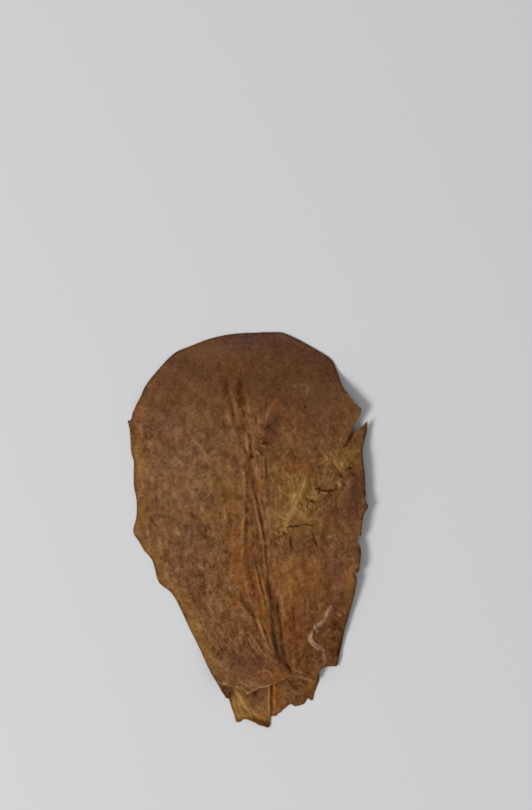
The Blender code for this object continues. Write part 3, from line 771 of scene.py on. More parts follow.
CRACKS = creases(
    Crack,
    (((10.9, 0.9), (12.6, 1.1), (14.6, 1.3)), 0.3, -0.3, -1.5),
    (((14.0, 1.3), (16.4, 1.6), (18.8, 1.4)), 0.22, -0.24, -1.1),
    (((18.4, 11.4), (19.4, 11.7), (19.9, 11.3), (19.7, 10.3)), 0.26, -0.28, -1.4, 0.2),
    (((19.9, 11.5), (21.0, 11.2), (22.4, 10.9), (23.8, 11.2), (24.8, 11.7)), 0.27, -0.3, -1.6, 0.2),
    (((17.1, 7.9), (18.0, 8.0), (18.9, 7.9)), 0.3, -0.28, -1.5, 0.1),
    (((16.8, 7.5), (16.6, 6.6), (16.8, 5.6)), 0.2, -0.18, -0.9),
    (((16.0, 9.0), (16.5, 8.5)), 0.3, -0.2, -1.0),
    (((3.8, 24.0), (4.9, 24.2), (6.0, 24.2)), 0.36, -0.26, -1.3, 0.0, 0.06),
    (((29.8, 28.4), (29.1, 27.0), (28.3, 25.4), (27.6, 23.9)), 0.62, -0.3, -1.0, 0.1, 0.16),
    (((27.9, 24.3), (27.1, 23.8), (26.6, 22.6)), 0.34, -0.2, -0.7, 0.3),
    (((23.4, 20.2), (23.8, 18.4), (24.5, 17.2), (25.1, 16.4), (25.7, 15.5)), 0.28, -0.2, -0.9, 0.4),
    (((25.5, 15.6), (26.1, 15.0)), 0.4, -0.26, -1.3, 0.1),
    (((27.4, 16.8), (28.3, 17.2), (29.3, 17.0)), 0.26, -0.2, -1.0),
    (((26.3, 13.6), (27.3, 12.3)), 0.26, -0.16, -0.8),
    (((1.0, 21.1), (1.3, 20.0)), 0.42, -0.2, -1.1, 0.05),
    (((15.6, 35.0), (16.1, 34.1)), 0.4, -0.14, -0.8, 0.1),
    (((10.9, -37.0), (11.5, -38.1), (12.1, -39.1)), 0.38, -0.3, -1.5, 0.1, 0.1),
    (((18.7, -31.9), (19.6, -32.5), (20.5, -33.1)), 0.15, -0.1, -0.35, 0.1, 0.05),
    (((18.5, -27.1), (18.8, -27.8)), 0.2, -0.12, -0.6, 0.1),
)

# The strands of bare fibre along the lower right tear, from its upper end down
TEAR_STRANDS = creases(
    Strand,
    (((25.9, -15.2), (25.3, -17.4), (23.9, -19.8)), 0.9, 0.02, 0.12),
    (((23.4, -20.6), (22.9, -22.2), (22.2, -24.4)), 0.36, 0.14, 0.9, 0.3),
    (((22.8, -21.2), (22.0, -23.0), (21.5, -25.0)), 0.34, 0.12, 0.8, 0.3),
    (((22.0, -24.9), (20.9, -25.4), (19.7, -26.0), (18.7, -26.7)), 0.38, 0.16, 0.95, 0.3),
    (((21.5, -25.7), (20.4, -26.3), (19.4, -26.9)), 0.34, 0.14, 0.85, 0.3),
    (((18.6, -26.4), (18.9, -27.4), (19.3, -28.2)), 0.36, 0.14, 0.9, 0.2),
    (((18.1, -27.7), (17.4, -28.9), (17.2, -30.1), (17.6, -31.1), (18.6, -32.2)), 0.36, 0.16, 1.0),
    (((18.2, -28.4), (17.8, -29.6), (18.1, -30.6), (18.8, -31.4)), 0.34, 0.16, 1.3, 0.1),
    (((18.2, -30.8), (19.4, -31.8), (20.6, -32.6), (21.2, -33.6)), 0.32, 0.14, 0.95),
    (((18.0, -31.7), (19.2, -32.6), (20.4, -33.2)), 0.3, 0.14, 0.75),
    (((20.9, -33.0), (21.4, -34.6), (21.7, -36.2), (21.5, -37.8)), 0.46, 0.1, 0.5),
)

# The folds of the foot: a broad one, which the solid has too, and fine ones
FOOT_FOLDS = (Fold(((-3.0, -44.2), (-1.0, -47.0), (0.6, -49.2), (1.4, -51.4)), 1.0, 0.35),)
FOOT_CREASES = creases(
    Crease,
    (((-3.2, -43.8), (-1.2, -47.7), (0.2, -49.6), (1.3, -51.1)), 0.42, 0.16, 1.2, 0.3),
    (((-1.9, -49.0), (-0.3, -50.9)), 0.32, -0.16, -1.2, 0.1),
    (((-2.3, -45.4), (-0.6, -48.0), (0.8, -49.8)), 0.26, -0.1, -0.7, 0.3),
    (((-4.7, -44.6), (-3.5, -48.0), (-3.2, -52.0)), 0.34, 0.08, 0.7),
    (((-3.7, -45.4), (-2.8, -48.4), (-2.4, -51.4)), 0.3, -0.08, -0.5),
    (((-3.0, -50.4), (-1.8, -52.2)), 0.34, 0.08, 0.9, 0.3),
    (((0.6, -48.6), (1.6, -50.2), (2.6, -51.8)), 0.32, 0.1, 0.9, 0.4),
    (((2.0, -50.6), (3.6, -51.8), (5.5, -52.6)), 0.34, 0.08, 0.8),
    (((1.0, -51.6), (2.4, -52.5), (4.0, -53.3)), 0.3, -0.08, -0.7),
    (((6.0, -41.4), (6.0, -46.4), (6.0, -52.8)), 0.26, 0.22, 1.6, 0.3, 0.08),
    (((6.75, -42.0), (6.8, -47.0), (6.7, -51.6)), 0.28, -0.1, -0.9, 0.3, 0.08),
    (((7.5, -42.6), (7.5, -46.2), (7.4, -49.6)), 0.28, 0.1, 1.2, 0.4, 0.08),
    (((9.8, -44.9), (10.9, -44.5), (11.9, -45.3)), 0.28, -0.1, -0.8, 0.3),
    (((11.0, -45.4), (12.4, -44.6), (13.8, -45.3)), 0.28, 0.08, 0.9, 0.3),
    (((10.4, -46.4), (11.2, -48.0)), 0.32, -0.12, -1.0, 0.2),
    (((12.8, -43.0), (14.6, -42.3), (16.0, -43.6)), 0.28, 0.08, 0.8, 0.3),
    (((13.6, -46.4), (14.8, -46.0), (16.0, -46.4)), 0.28, -0.1, -0.8, 0.3),
    (((12.4, -40.2), (15.0, -40.9), (17.9, -42.0)), 0.24, 0.1, 1.15, 0.4),
)


@dataclass(frozen=True)
class BladeForm:
    """How the blade has dried: a shallow dome with lifted margins, folds and veins."""

    midrib: Midrib
    veins: SideVeins
    stations: tuple[tuple[float, float, float], ...] = (
        (54.9, 2.0, 3.0), (45.0, 0.1, 24.6), (35.0, 0.5, 31.0), (25.0, 0.2, 33.0), (10.0, 1.0, 32.2),
        (0.0, 0.5, 31.4), (-10.0, 2.6, 28.6), (-20.0, 5.0, 24.2), (-30.0, 5.8, 20.7), (-37.0, 6.5, 18.1),
        (-45.0, 6.5, 13.0), (-55.0, 5.0, 8.0),
    )
    degree: int = 5
    crown_height: float = 5.0
    widest_half: float = 33.0
    sink: float = 0.35
    lifts: tuple[Patch, ...] = (
        Patch(35.0, 8.0, 15.0, 25.0, 2.5),
        Patch(31.0, 36.0, 8.0, 7.0, 2.2),
        Patch(32.0, -20.0, 10.0, 16.0, 1.7),
        Patch(-9.0, -42.0, 11.0, 11.0, 2.4),
        Patch(20.0, -40.0, 14.0, 12.0, 1.2),
        Patch(-30.0, 38.0, 7.0, 8.0, 0.7),
    )
    swell: float = 0.28
    swell_waves: tuple[tuple[float, float, float], ...] = ((0.31, 0.17, 0.8), (-0.12, 0.24, 0.0))
    strip_tear: Points = (
        (24.5, -17.2), (23.0, -21.1), (21.1, -25.4), (18.9, -27.1), (17.4, -30.1), (19.7, -32.5),
        (21.5, -35.3), (21.1, -38.1),
    )
    strip_drop: float = 0.55
    strip_step_width: float = 0.8
    strip_starts: Pair = (-15.2, -22.2)
    roll_reach: float = 4.0
    roll_drop: float = 0.7
    roll_starts: Pair = (-36.0, -24.0)

    def crown(self, x: Array, y: Array) -> Array:
        """Works out the dome, which comes down to nothing at the margin.

        Args:
            x: Places across the leaf.
            y: Places along the leaf.

        Returns:
            Its height.
        """
        table = np.array(self.stations)
        middle = np.polyval(np.polyfit(table[:, 0], table[:, 1], self.degree), y)
        half_squared = np.polyval(np.polyfit(table[:, 0], table[:, 2] ** 2, self.degree), y)
        return self.crown_height * (half_squared - (x - middle) ** 2) / self.widest_half**2

    def swells(self, x: Array, y: Array) -> Array:
        """Returns the two crossed waves that warp the whole blade."""
        return self.swell * np.prod([np.sin(a * x + b * y + c) for a, b, c in self.swell_waves], axis=0)

    def strip_share(self, x: Array, y: Array) -> Array:
        """Returns 1 on the strip that the lower right tear has let down, and 0 on the rest of the blade."""
        away, side, _ = Polyline(np.array(self.strip_tear)).nearest(x, y)
        return ease(0.0, -self.strip_step_width, away * side) * ease(*self.strip_starts, y)

    def left_roll(self, x: Array, y: Array) -> Array:
        """Works out how far the left margin is rolled down, in a narrow band along it.

        Args:
            x: Places across the leaf.
            y: Places along the leaf.

        Returns:
            How far each point has come down.
        """
        margin = Polyline(np.array(BLADE_OUTLINE.stretches[-1].points))
        away, _, _ = margin.nearest(x, y)
        return self.roll_drop * ease(self.roll_reach, 0.0, away) * ease(*self.roll_starts, y)

    def under(self, x: Array, y: Array) -> Array:
        """Works out the blade's under face, without its veins.

        Args:
            x: Places across the leaf.
            y: Places along the leaf.

        Returns:
            Its height above the table.
        """
        height = self.crown(x, y) + self.swells(x, y) + self.veins.puffs(x, y) - self.sink
        height += sum(lift.share(x, y) for lift in self.lifts)
        height += sum(fold.height * fold.closeness(x, y) for fold in FOLDS)
        height -= self.midrib.groove(x, y) + self.left_roll(x, y) + self.strip_drop * self.strip_share(x, y)
        return np.maximum(height, 0.0)


@dataclass(frozen=True)
class PaintedShades:
    """How much painted highlight each kind of fine wrinkle puts on its crests, and how much painted shade in
    its furrows.
    """

    pucker: float = 0.35
    pucker_more: float = 0.25
    ripple: float = 0.25
    crimp: float = 0.22
    crimp_level: float = 0.2
    fan: float = 0.5
    fibre: float = 0.6
    pleat: float = 0.8
    pleat_level: float = 0.3
    crumb: float = 0.4


@dataclass(frozen=True)
class Crinkle:
    """The fine wrinkles of dry leaf tissue."""

    midrib: Midrib
    shades: PaintedShades = PaintedShades()
    pucker: float = 0.13
    pucker_noise: Noise = Noise(11, 2.3, octaves=3)
    crimp: float = 0.085
    crimp_noise: Noise = Noise(26, 2.1, octaves=2)
    crimp_width: float = 0.3
    crimp_bend: float = 0.6
    crimp_bend_grain: float = 1.3
    crimp_tufts: Noise = Noise(29, 4.0, octaves=2)
    sag: float = 0.2
    sag_noise: Noise = Noise(12, 7.5, octaves=2)
    ripple: float = 0.08
    ripple_grain: Pair = (3.4, 1.1)
    rippled: Patch = Patch(-19.0, -8.0, 13.0, 22.0, 1.0)
    fan_centre: Pair = (12.5, -43.0)
    fan_spread: Pair = (12.0, 0.5)
    fan: float = 0.17
    fan_width: float = 1.7
    fan_length: float = 9.0
    fan_left: Pair = (10.0, 2.0)
    fan_right: Pair = (6.0, 1.0)
    fan_along: Pair = (50.0, 24.0)
    fan_fades: Pair = (-24.0, -36.0)
    fan_faded: float = 0.4
    fan_least: float = 0.15
    fan_waver: float = 0.5
    fan_waver_noise: Noise = Noise(15, 6.0, octaves=2)
    fibre: float = 0.05
    fibre_width: float = 0.85
    fibre_length: float = 5.5
    fibre_tufts: Noise = Noise(20, 5.0, octaves=2)
    tufted: Pair = (-0.3, 0.3)
    puckered: Patch = Patch(15.5, 8.0, 8.0, 9.0, 1.0)
    pleat: float = 0.15
    pleat_grain: Pair = (1.5, 4.2)
    pleat_width: float = 0.3
    pleat_lean: float = 0.33
    pleat_tufts: Noise = Noise(18, 3.4, octaves=2)
    pleats_shown: Pair = (-0.2, 0.25)
    crumbly: Patch = Patch(26.2, 18.0, 3.2, 6.0, 1.0)
    crumb: float = 0.09
    crumb_grain: float = 1.25
    crumb_contrast: float = 3.0
    calms: Pair = (22.0, 40.0)
    calms_lean: float = 0.1
    calm: float = 0.72

    def lively(self, x: Array, y: Array) -> Array:
        """Returns how strong the wrinkles and the mottling are: less towards the leaf's tip."""
        return 1.0 - self.calm * ease(*self.calms, y + self.calms_lean * x)

    def puckers(self, x: Array, y: Array) -> Array:
        """Returns the small swellings between the veinlets, from about -1 to 1."""
        return self.pucker_noise.at(x, y)

    def crimps(self, x: Array, y: Array) -> Array:
        """Works out the thin crests that wander over the whole blade.

        Args:
            x: Places across the leaf.
            y: Places along the leaf.

        Returns:
            1 on a crest and less beside it.
        """
        bends = [Noise(seed, self.crimp_bend_grain, octaves=2).at(x, y) for seed in (27, 28)]
        waves = self.crimp_noise.at(x + self.crimp_bend * bends[0], y + self.crimp_bend * bends[1])
        return crests(waves, self.crimp_width) * ease(*self.tufted, self.crimp_tufts.at(x, y))

    def ripples(self, x: Array, y: Array) -> Array:
        """Returns the short cross ripples of the lower left part, from about -1 to 1."""
        across = Noise(14, 1.0, octaves=2).at(x / self.ripple_grain[0], y / self.ripple_grain[1])
        return across * self.rippled.share(x, y)

    def fibres(self, x: Array, y: Array) -> tuple[Array, Array]:
        """Finds places on the fibres, which spread from the stalk end.

        Args:
            x: Places across the leaf.
            y: Places along the leaf.

        Returns:
            The places across and along the fibres.
        """
        dx, dy = x - self.fan_centre[0], y - self.fan_centre[1]
        radius = np.hypot(dx, dy)
        return np.arctan2(dx, dy) * (self.fan_spread[0] + self.fan_spread[1] * radius), radius

    def fan_streaks(self, x: Array, y: Array) -> tuple[Array, Array]:
        """Works out the wrinkles and the finer streaks along the fibres.

        Args:
            x: Places across the leaf.
            y: Places along the leaf.

        Returns:
            The wrinkles and the streaks, each from about -1 to 1.
        """
        across, radius = self.fibres(x, y)
        across = across + self.fan_waver * self.fan_waver_noise.at(x, y)
        broad = Noise(13, 1.0, octaves=3).at(across / self.fan_width, radius / self.fan_length)
        fine = Noise(16, 1.0, octaves=2).at(across / self.fibre_width, radius / self.fibre_length)
        return broad, fine

    def fan_share(self, x: Array, y: Array) -> Array:
        """Works out how strong the long wrinkles are: faint at the margins and weaker near the foot.

        Args:
            x: Places across the leaf.
            y: Places along the leaf.

        Returns:
            Their strength, from 0 to 1.
        """
        off = self.midrib.off(x, y)
        near = np.where(off < 0.0, ease(*self.fan_left, -off), ease(*self.fan_right, off))
        near = self.fan_least + (1.0 - self.fan_least) * near
        return near * ease(*self.fan_along, y) * (1.0 - self.fan_faded * ease(*self.fan_fades, y))

    def fibre_share(self, x: Array, y: Array) -> Array:
        """Returns how strong the fine fibres are: in tufts beside the midrib."""
        return self.fan_share(x, y) ** 2 * ease(*self.tufted, self.fibre_tufts.at(x, y))

    def pleats(self, x: Array, y: Array) -> Array:
        """Works out the narrow crests of the puckered part, which lean to the right.

        Args:
            x: Places across the leaf.
            y: Places along the leaf.

        Returns:
            1 on a crest and less beside it.
        """
        along, across = y + self.pleat_lean * x, x - self.pleat_lean * y
        waves = Noise(17, 1.0, octaves=2).at(across / self.pleat_grain[0], along / self.pleat_grain[1])
        shown = ease(*self.pleats_shown, self.pleat_tufts.at(x, y))
        return crests(waves, self.pleat_width) * shown * self.puckered.share(x, y)

    def crumbs(self, x: Array, y: Array) -> Array:
        """Returns the crumbled surface below the notch, from about -1 to 1."""
        waves = Noise(19, self.crumb_grain, octaves=2).at(x, y)
        return np.clip(self.crumb_contrast * waves, -1.0, 1.0) * self.crumbly.share(x, y)

    def height(self, x: Array, y: Array) -> Array:
        """Works out all the fine wrinkles.

        Args:
            x: Places across the leaf.
            y: Places along the leaf.

        Returns:
            Their height.
        """
        broad, fine = self.fan_streaks(x, y)
        rough = 1.0 + self.puckered.share(x, y)
        waved = self.pucker * rough * self.puckers(x, y) + self.sag * self.sag_noise.at(x, y)
        waved += self.crimp * self.crimps(x, y)
        return (
            waved * self.lively(x, y)
            + self.ripple * self.ripples(x, y)
            + self.fan * broad * self.fan_share(x, y)
            + self.fibre * fine * self.fibre_share(x, y)
            + self.pleat * self.pleats(x, y)
            + self.crumb * self.crumbs(x, y)
        )

    def shading(self, x: Array, y: Array) -> Array:
        """Works out the painted highlight on the fine wrinkles' crests and the painted shade in their
        furrows.

        Args:
            x: Places across the leaf.
            y: Places along the leaf.

        Returns:
            How much lighter (painted highlight, above 0) or darker (painted shade) it is.
        """
        shades, lively, puckered = self.shades, self.lively(x, y), self.puckered.share(x, y)
        broad, fine = self.fan_streaks(x, y)
        relief = (shades.pucker * lively + shades.pucker_more * puckered) * self.puckers(x, y)
        relief += shades.ripple * self.ripples(x, y)
        relief += shades.crimp * lively * (self.crimps(x, y) - shades.crimp_level)
        relief += shades.fan * broad * self.fan_share(x, y) + shades.fibre * fine * self.fibre_share(x, y)
        relief += shades.pleat * (self.pleats(x, y) - shades.pleat_level * puckered)
        return relief + shades.crumb * self.crumbs(x, y)


@dataclass(frozen=True)
class Sheet:
    """One face's points and triangles in the plane, with the rim's points first."""

    points: Array
    triangles: Array


def net(rim: Rim, lines: list[Array], pitch: float, seed: int) -> Sheet:
    """Fills a rim with small triangles that follow some lines.

    Args:
        rim: The closed rim, whose points are kept as they are.
        lines: Paths that the triangles' sides follow, each already at its own spacing.
        pitch: About how long the triangles' sides are.
        seed: Seed for the slight scatter that hides the points' rows.

    Returns:
        The sheet of triangles, counter-clockwise seen from above.
    """
    outline = rim.line.points
    kept = [outline]
    for line in lines:
        kept.append(clear_of(line[rim.line.holds(line)], np.vstack(kept), pitch * LINE_GAP))
    low, high = outline.min(axis=0), outline.max(axis=0)
    rows = []
    for number, y in enumerate(np.arange(low[1], high[1], pitch * np.sqrt(3.0) / 2.0)):
        x = np.arange(low[0] + (number % 2) * pitch / 2.0, high[0], pitch)
        rows.append(np.stack([x, np.full(x.shape, y)], axis=1))
    filler = np.vstack(rows)
    filler += (np.random.default_rng(seed).random(filler.shape) - 0.5) * pitch * SCATTER
    filler = clear_of(filler[rim.line.holds(filler)], np.vstack(kept), pitch * FILLER_GAP)
    points = np.vstack(kept + [filler])
    count = len(outline)
    edges = [(i, (i + 1) % count) for i in range(count)]
    cut = delaunay_2d_cdt([Vector(p) for p in points], edges, [list(range(count))], 1, SAME_POINT)
    triangles = np.array(cut[2])
    placed = np.array([tuple(p) for p in cut[0]])
    a, b, c = (placed[triangles[:, i]] for i in range(3))
    turn = (b[:, 0] - a[:, 0]) * (c[:, 1] - a[:, 1]) - (b[:, 1] - a[:, 1]) * (c[:, 0] - a[:, 0])
    triangles[turn < 0.0] = triangles[turn < 0.0][:, ::-1]
    return Sheet(placed, triangles)


def clear_of(points: Array, others: Array, gap: float) -> Array:
    """Leaves out points that lie close to others.

    Args:
        points: The points to choose from.
        others: The points to keep clear of.
        gap: How far off a point has to lie.

    Returns:
        The points that lie farther than the gap from all the others.
    """
    tree = KDTree(len(others))
    for i, (x, y) in enumerate(others):
        tree.insert((x, y, 0.0), i)
    tree.balance()
    far = [tree.find((x, y, 0.0))[2] > gap for x, y in points]
    return points[np.array(far, bool)]


@dataclass(frozen=True)
class Shell:
    """A closed thin body: an upper face, an under face and a rounded rim between them.

    Its points come in that order. Under is the first point of the under face, and ring the rim's first.
    """

    points: Array
    faces: list[tuple[int, ...]]
    under: int
    ring: int


def shell(upper: Sheet, under: Sheet, rim: Rim, upper_z: Array, under_z: Array, bulge: float) -> Shell:
    """Joins two faces along the rim that they share.

    Args:
        upper: The upper face.
        under: The under face.
        rim: The rim that both start with, clockwise.
        upper_z: The heights of the upper face's points.
        under_z: The heights of the under face's points.
        bulge: How far the rim stands out half way down it.

    Returns:
        The closed body.
    """
    count = len(rim.line.points)
    path = rim.line.points + rim.line.leftward() * bulge
    points = np.vstack([
        np.column_stack([upper.points, upper_z]),
        np.column_stack([under.points, under_z]),
        np.column_stack([path, (upper_z[:count] + under_z[:count]) / 2.0]),
    ])
    first, ring = len(upper.points), len(upper.points) + len(under.points)
    faces = [tuple(t) for t in upper.triangles.tolist()]
    faces += [tuple(t) for t in (under.triangles[:, ::-1] + first).tolist()]
    for i in range(count):
        after = (i + 1) % count
        faces.append((i, after, ring + after, ring + i))
        faces.append((ring + i, ring + after, first + after, first + i))
    return Shell(points, faces, first, ring)


class Mark(Enum):
    """What is marked on the mesh's points for the finish to colour."""

    OLIVE = "olive"
    ORANGE = "orange"
    RUSSET = "russet"
    PURPLE = "purple"
    # Darker tissue, and painted shade in furrows, under the torn flap, along the margins and over the tip
    # end
    DARK = "dark"
    # Lighter tissue, and painted highlight on crests
    LIGHT = "light"
    BAND = "midrib_band"
    # Bare pale fibre at torn edges, with painted highlight where they catch the light and on the strongest
    # crests
    PALE_AND_HIGHLIGHT = "pale_fibre_and_highlight"
    LIP = "tear_lip"
    # Splits, dark partly from their own torn tissue and partly from painted shade inside them, and painted
    # shade in the midrib's furrow
    CRACK_AND_SHADE = "crack"
    VEIN = "vein"
    UNDER = "under_face"
    LIVELY = "lively"


PatchRows = dict[Mark, tuple[tuple[float, float, float, float, float], ...]]

# Where the colour of the blade's upper face departs from the general brown: rows of a patch's fields. Some
# rows are partly painted shade: along the tip's rim and over its end, which slope away from the light, and
# on the right margin near y 9 to 16, which tilts away from it.
BLADE_PATCHES: PatchRows = {
    Mark.OLIVE: (
        (13.5, 8.0, 6.4, 8.5, 0.8), (25.6, 18.6, 2.4, 5.5, 0.65), (29.4, 19.0, 1.6, 5.0, 0.6),
        (27.2, 20.4, 1.1, 1.3, 0.6), (-1.0, 35.2, 1.2, 3.4, 0.8), (18.9, -39.2, 1.4, 1.6, 1.6),
        (10.8, -15.0, 2.4, 6.5, 0.7), (-16.5, -29.0, 3.0, 9.0, 0.4), (28.6, -13.8, 1.2, 3.4, 0.9),
        (25.5, -27.0, 1.6, 5.0, 0.5), (29.0, 34.0, 3.0, 4.5, 0.2), (-4.6, 31.4, 2.2, 3.0, 0.5),
        (-6.5, 9.0, 3.5, 6.0, 0.4), (7.5, -23.0, 3.0, 4.0, 0.5),
    ),
    Mark.ORANGE: (
        (-30.2, 32.2, 1.6, 2.4, 0.5), (22.0, -18.0, 4.0, 8.0, 0.4), (11.0, -42.0, 5.0, 2.6, 0.5),
        (-1.5, -14.0, 3.2, 12.0, 0.6), (5.5, -16.0, 3.6, 9.0, 0.55), (13.2, -27.0, 3.8, 11.0, 0.65),
        (6.0, -24.0, 3.4, 12.0, 0.6), (6.0, -41.0, 5.0, 2.6, 0.3), (-2.5, 0.0, 3.0, 12.0, 0.45),
        (17.0, -12.0, 6.0, 6.0, 0.55), (9.0, 31.0, 10.0, 5.0, 0.3), (7.3, 34.8, 1.6, 1.8, 0.4),
        (14.0, 18.0, 4.0, 4.0, 0.45), (2.0, 12.0, 2.0, 8.0, 0.5), (-4.5, 41.0, 3.0, 6.0, 0.4),
        (0.5, 27.0, 3.0, 3.0, 0.5), (27.0, -13.0, 2.5, 5.0, 0.5),
    ),
    Mark.RUSSET: (
        (15.0, -3.0, 8.0, 3.0, 0.7), (18.0, 49.5, 6.0, 4.0, 0.35), (21.5, -6.5, 2.4, 2.4, 0.4),
        (22.0, 5.0, 4.0, 4.5, 0.8), (24.0, -10.0, 4.0, 5.0, 0.6), (21.0, -22.0, 5.0, 8.0, 0.5),
        (20.0, -34.5, 3.0, 4.0, 0.9), (12.0, -34.0, 5.0, 4.0, 0.6), (1.5, -18.0, 2.0, 6.0, 0.5),
        (-5.9, 39.6, 1.3, 3.4, 0.6), (-13.0, -6.0, 7.0, 4.0, 0.4), (1.0, -36.6, 6.0, 4.0, 0.8),
        (28.7, 26.2, 0.9, 1.9, 0.8), (28.4, 9.0, 3.0, 6.0, 0.6),
    ),
    Mark.PURPLE: (
        # The first two rows darken the tip's rim: its purple-brown, and painted shade where it curves down
        # away from the light
        (2.0, 55.5, 15.0, 3.2, 1.9), (3.0, 51.0, 14.0, 4.0, 0.35), (20.0, 38.0, 10.0, 12.0, 0.25),
        (21.0, 48.5, 6.0, 4.0, 0.55), (-21.0, 46.0, 6.0, 4.0, 0.5), (28.6, 9.0, 3.0, 6.0, 0.4),
        # The row at (31.2, 16) darkens the right margin, partly as painted shade where it tilts away from
        # the light
        (31.2, 16.0, 1.5, 6.0, 0.6), (25.4, -17.0, 1.5, 4.0, 0.6), (25.0, -10.0, 2.2, 3.6, 0.5),
        (-5.9, 38.8, 1.3, 3.6, 0.45), (8.5, 31.2, 1.4, 1.5, 0.9), (6.9, 29.8, 1.4, 1.3, 0.9),
        (5.4, 28.2, 1.3, 1.3, 0.8), (24.6, -30.0, 2.4, 6.0, 0.4), (-14.5, -7.0, 4.5, 5.5, 0.5),
        (0.0, -36.5, 5.5, 3.0, 0.5), (-25.0, 29.0, 4.0, 3.0, 0.5), (-2.2, 40.2, 1.5, 2.4, 0.6),
        (-19.0, 14.0, 8.0, 15.0, 0.35), (-10.0, 26.0, 9.0, 8.0, 0.25), (8.3, -18.5, 0.7, 2.6, 0.9),
    ),
    Mark.DARK: (
        # The first two rows are painted shade over the tip end, which slopes away from the light
        (0.0, 44.0, 34.0, 12.0, 0.24), (10.0, 42.0, 17.0, 9.0, 0.12), (8.2, 30.8, 1.5, 1.5, 0.5),
        (5.9, 28.6, 1.6, 1.5, 0.6), (-1.9, 37.5, 1.2, 4.5, 0.5), (24.6, -31.0, 2.6, 7.0, 0.3),
        (16.0, -28.0, 10.0, 14.0, 0.3), (1.0, -36.4, 4.5, 2.6, 0.2), (24.0, 2.0, 8.0, 12.0, 0.1),
        (24.2, -21.0, 2.8, 5.5, 0.28), (-16.0, 24.0, 4.5, 3.5, 0.2), (-3.0, -12.0, 2.5, 6.0, 0.18),
        # The row at (30, 15) darkens the right margin, partly as painted shade where it tilts away from the
        # light
        (3.5, -20.0, 3.5, 6.0, 0.18), (-6.0, 11.5, 5.0, 4.0, 0.12), (30.0, 15.0, 2.0, 7.0, 0.42),
        (22.6, -34.0, 3.0, 4.0, 0.1), (26.2, -28.0, 1.5, 9.0, 0.45), (15.0, -35.0, 5.0, 4.0, 0.3),
        (17.6, -40.0, 2.4, 1.4, 0.4), (28.0, 33.0, 3.0, 3.0, 0.2), (-6.0, 5.0, 5.0, 6.0, 0.15),
    ),
    Mark.LIGHT: (
        (-21.0, 15.0, 8.0, 12.0, 0.2), (-10.0, 20.0, 8.0, 8.0, 0.2), (13.5, 5.0, 6.0, 6.0, 0.35),
        (12.0, -10.0, 3.0, 3.0, 0.25), (4.8, 23.1, 1.0, 0.8, 0.4), (7.2, 34.8, 1.4, 1.6, 0.2),
        (27.2, 20.4, 1.3, 1.5, 0.25), (-10.0, 50.0, 5.0, 3.0, 0.16), (-3.5, -40.0, 4.5, 4.5, 0.26),
        (-9.0, 31.0, 4.5, 3.5, 0.2), (17.0, 7.5, 3.5, 5.0, 0.18), (24.0, -3.0, 3.5, 3.5, 0.15),
        (-16.0, 4.0, 4.0, 4.0, 0.15),
    ),
}

# The same for the foot. Its rows just under the torn flap's edge are painted shadow, cast by the flap.
FOOT_PATCHES: PatchRows = {
    Mark.OLIVE: (
        (-2.6, -48.5, 3.0, 5.5, 1.05), (3.2, -52.4, 3.0, 1.8, 1.0), (9.4, -45.6, 1.8, 2.4, 0.7),
        (18.2, -44.0, 1.2, 3.6, 0.9),
    ),
    Mark.ORANGE: (
        (4.9, -49.0, 0.9, 4.0, 0.9), (8.0, -46.6, 1.7, 5.0, 1.2), (10.2, -48.6, 1.6, 1.6, 0.5),
        (2.0, -51.0, 3.0, 2.0, 0.4),
    ),
    Mark.RUSSET: (
        # The first row is painted shadow under the flap's edge, in dark red-brown
        (2.6, -47.4, 1.9, 2.0, 1.5), (14.0, -45.6, 4.0, 3.4, 1.2),
    ),
    Mark.PURPLE: (
        # Both rows are painted shadow: under the flap's edge and in the dark gap at its left end
        (2.4, -46.4, 2.0, 1.6, 0.5), (-5.4, -44.8, 1.5, 1.6, 1.0),
    ),
    Mark.DARK: (
        # The first two rows are painted shadow under the flap's edge and in the dark gap at its left end
        (2.2, -45.2, 2.6, 1.4, 0.8), (-5.4, -44.4, 1.4, 1.6, 1.2), (3.6, -53.6, 2.8, 1.0, 0.9),
        (0.2, -52.9, 2.6, 0.7, 0.9), (8.0, -46.0, 2.4, 5.0, 0.25), (14.6, -45.4, 3.6, 3.6, 0.2),
        # The rows at (9.6, -42.8) and (13.8, -42.6) are painted shadow just under the flap's lip
        (0.6, -50.2, 0.9, 1.6, 0.5), (9.6, -42.8, 3.4, 0.8, 0.6), (13.8, -42.6, 3.0, 1.3, 0.5),
        (-4.8, -46.2, 0.9, 1.2, 0.6), (18.6, -45.0, 1.0, 3.0, 0.7),
    ),
    Mark.LIGHT: (
        (-2.0, -48.4, 2.0, 4.6, 0.4), (1.6, -48.6, 1.8, 2.4, 0.2), (0.2, -50.4, 1.0, 1.4, 0.35),
    ),
}


def patched(patches: PatchRows, lines: tuple[Crease, ...], x: Array, y: Array) -> dict[Mark, Array]:
    """Starts the marks of a face: its patches, and what lies along its creases.

    Args:
        patches: The face's patches.
        lines: The face's creases, whose tints paint highlight along crests and shade along furrows and
            splits.
        x: Places across the leaf.
        y: Places along the leaf.

    Returns:
        One value for each point, for each mark.
    """
    marks = {mark: np.zeros(np.shape(x)) for mark in Mark}
    for mark, rows in patches.items():
        marks[mark] += sum(Patch(*row).share(x, y) for row in rows)
    for crease in lines:
        # A crease's tint is painted highlight along a crest and painted shade along a furrow; the part
        # beyond 1 goes to the pale and crack marks
        closeness = crease.closeness(x, y)
        marks[Mark.LIGHT if crease.tint > 0.0 else Mark.DARK] += min(abs(crease.tint), 1.0) * closeness
        marks[Mark.PALE_AND_HIGHLIGHT] += max(crease.tint - 1.0, 0.0) * closeness
        marks[Mark.CRACK_AND_SHADE] += max(-crease.tint - 1.0, 0.0) * closeness
    return marks


@dataclass(frozen=True)
class Layer:
    """What the leaf's two closed sheets have in common, the blade and the foot."""

    form: BladeForm
    crinkle: Crinkle
    upper_pitch: float = 0.31
    under_pitch: float = 0.85
    strand_pitch: float = 0.22
    strand_spacing: float = 0.15
    rim_reach: float = 5.2
    thickness: float = 0.38
    thinnest: float = 0.6
    bulge: float = 0.05


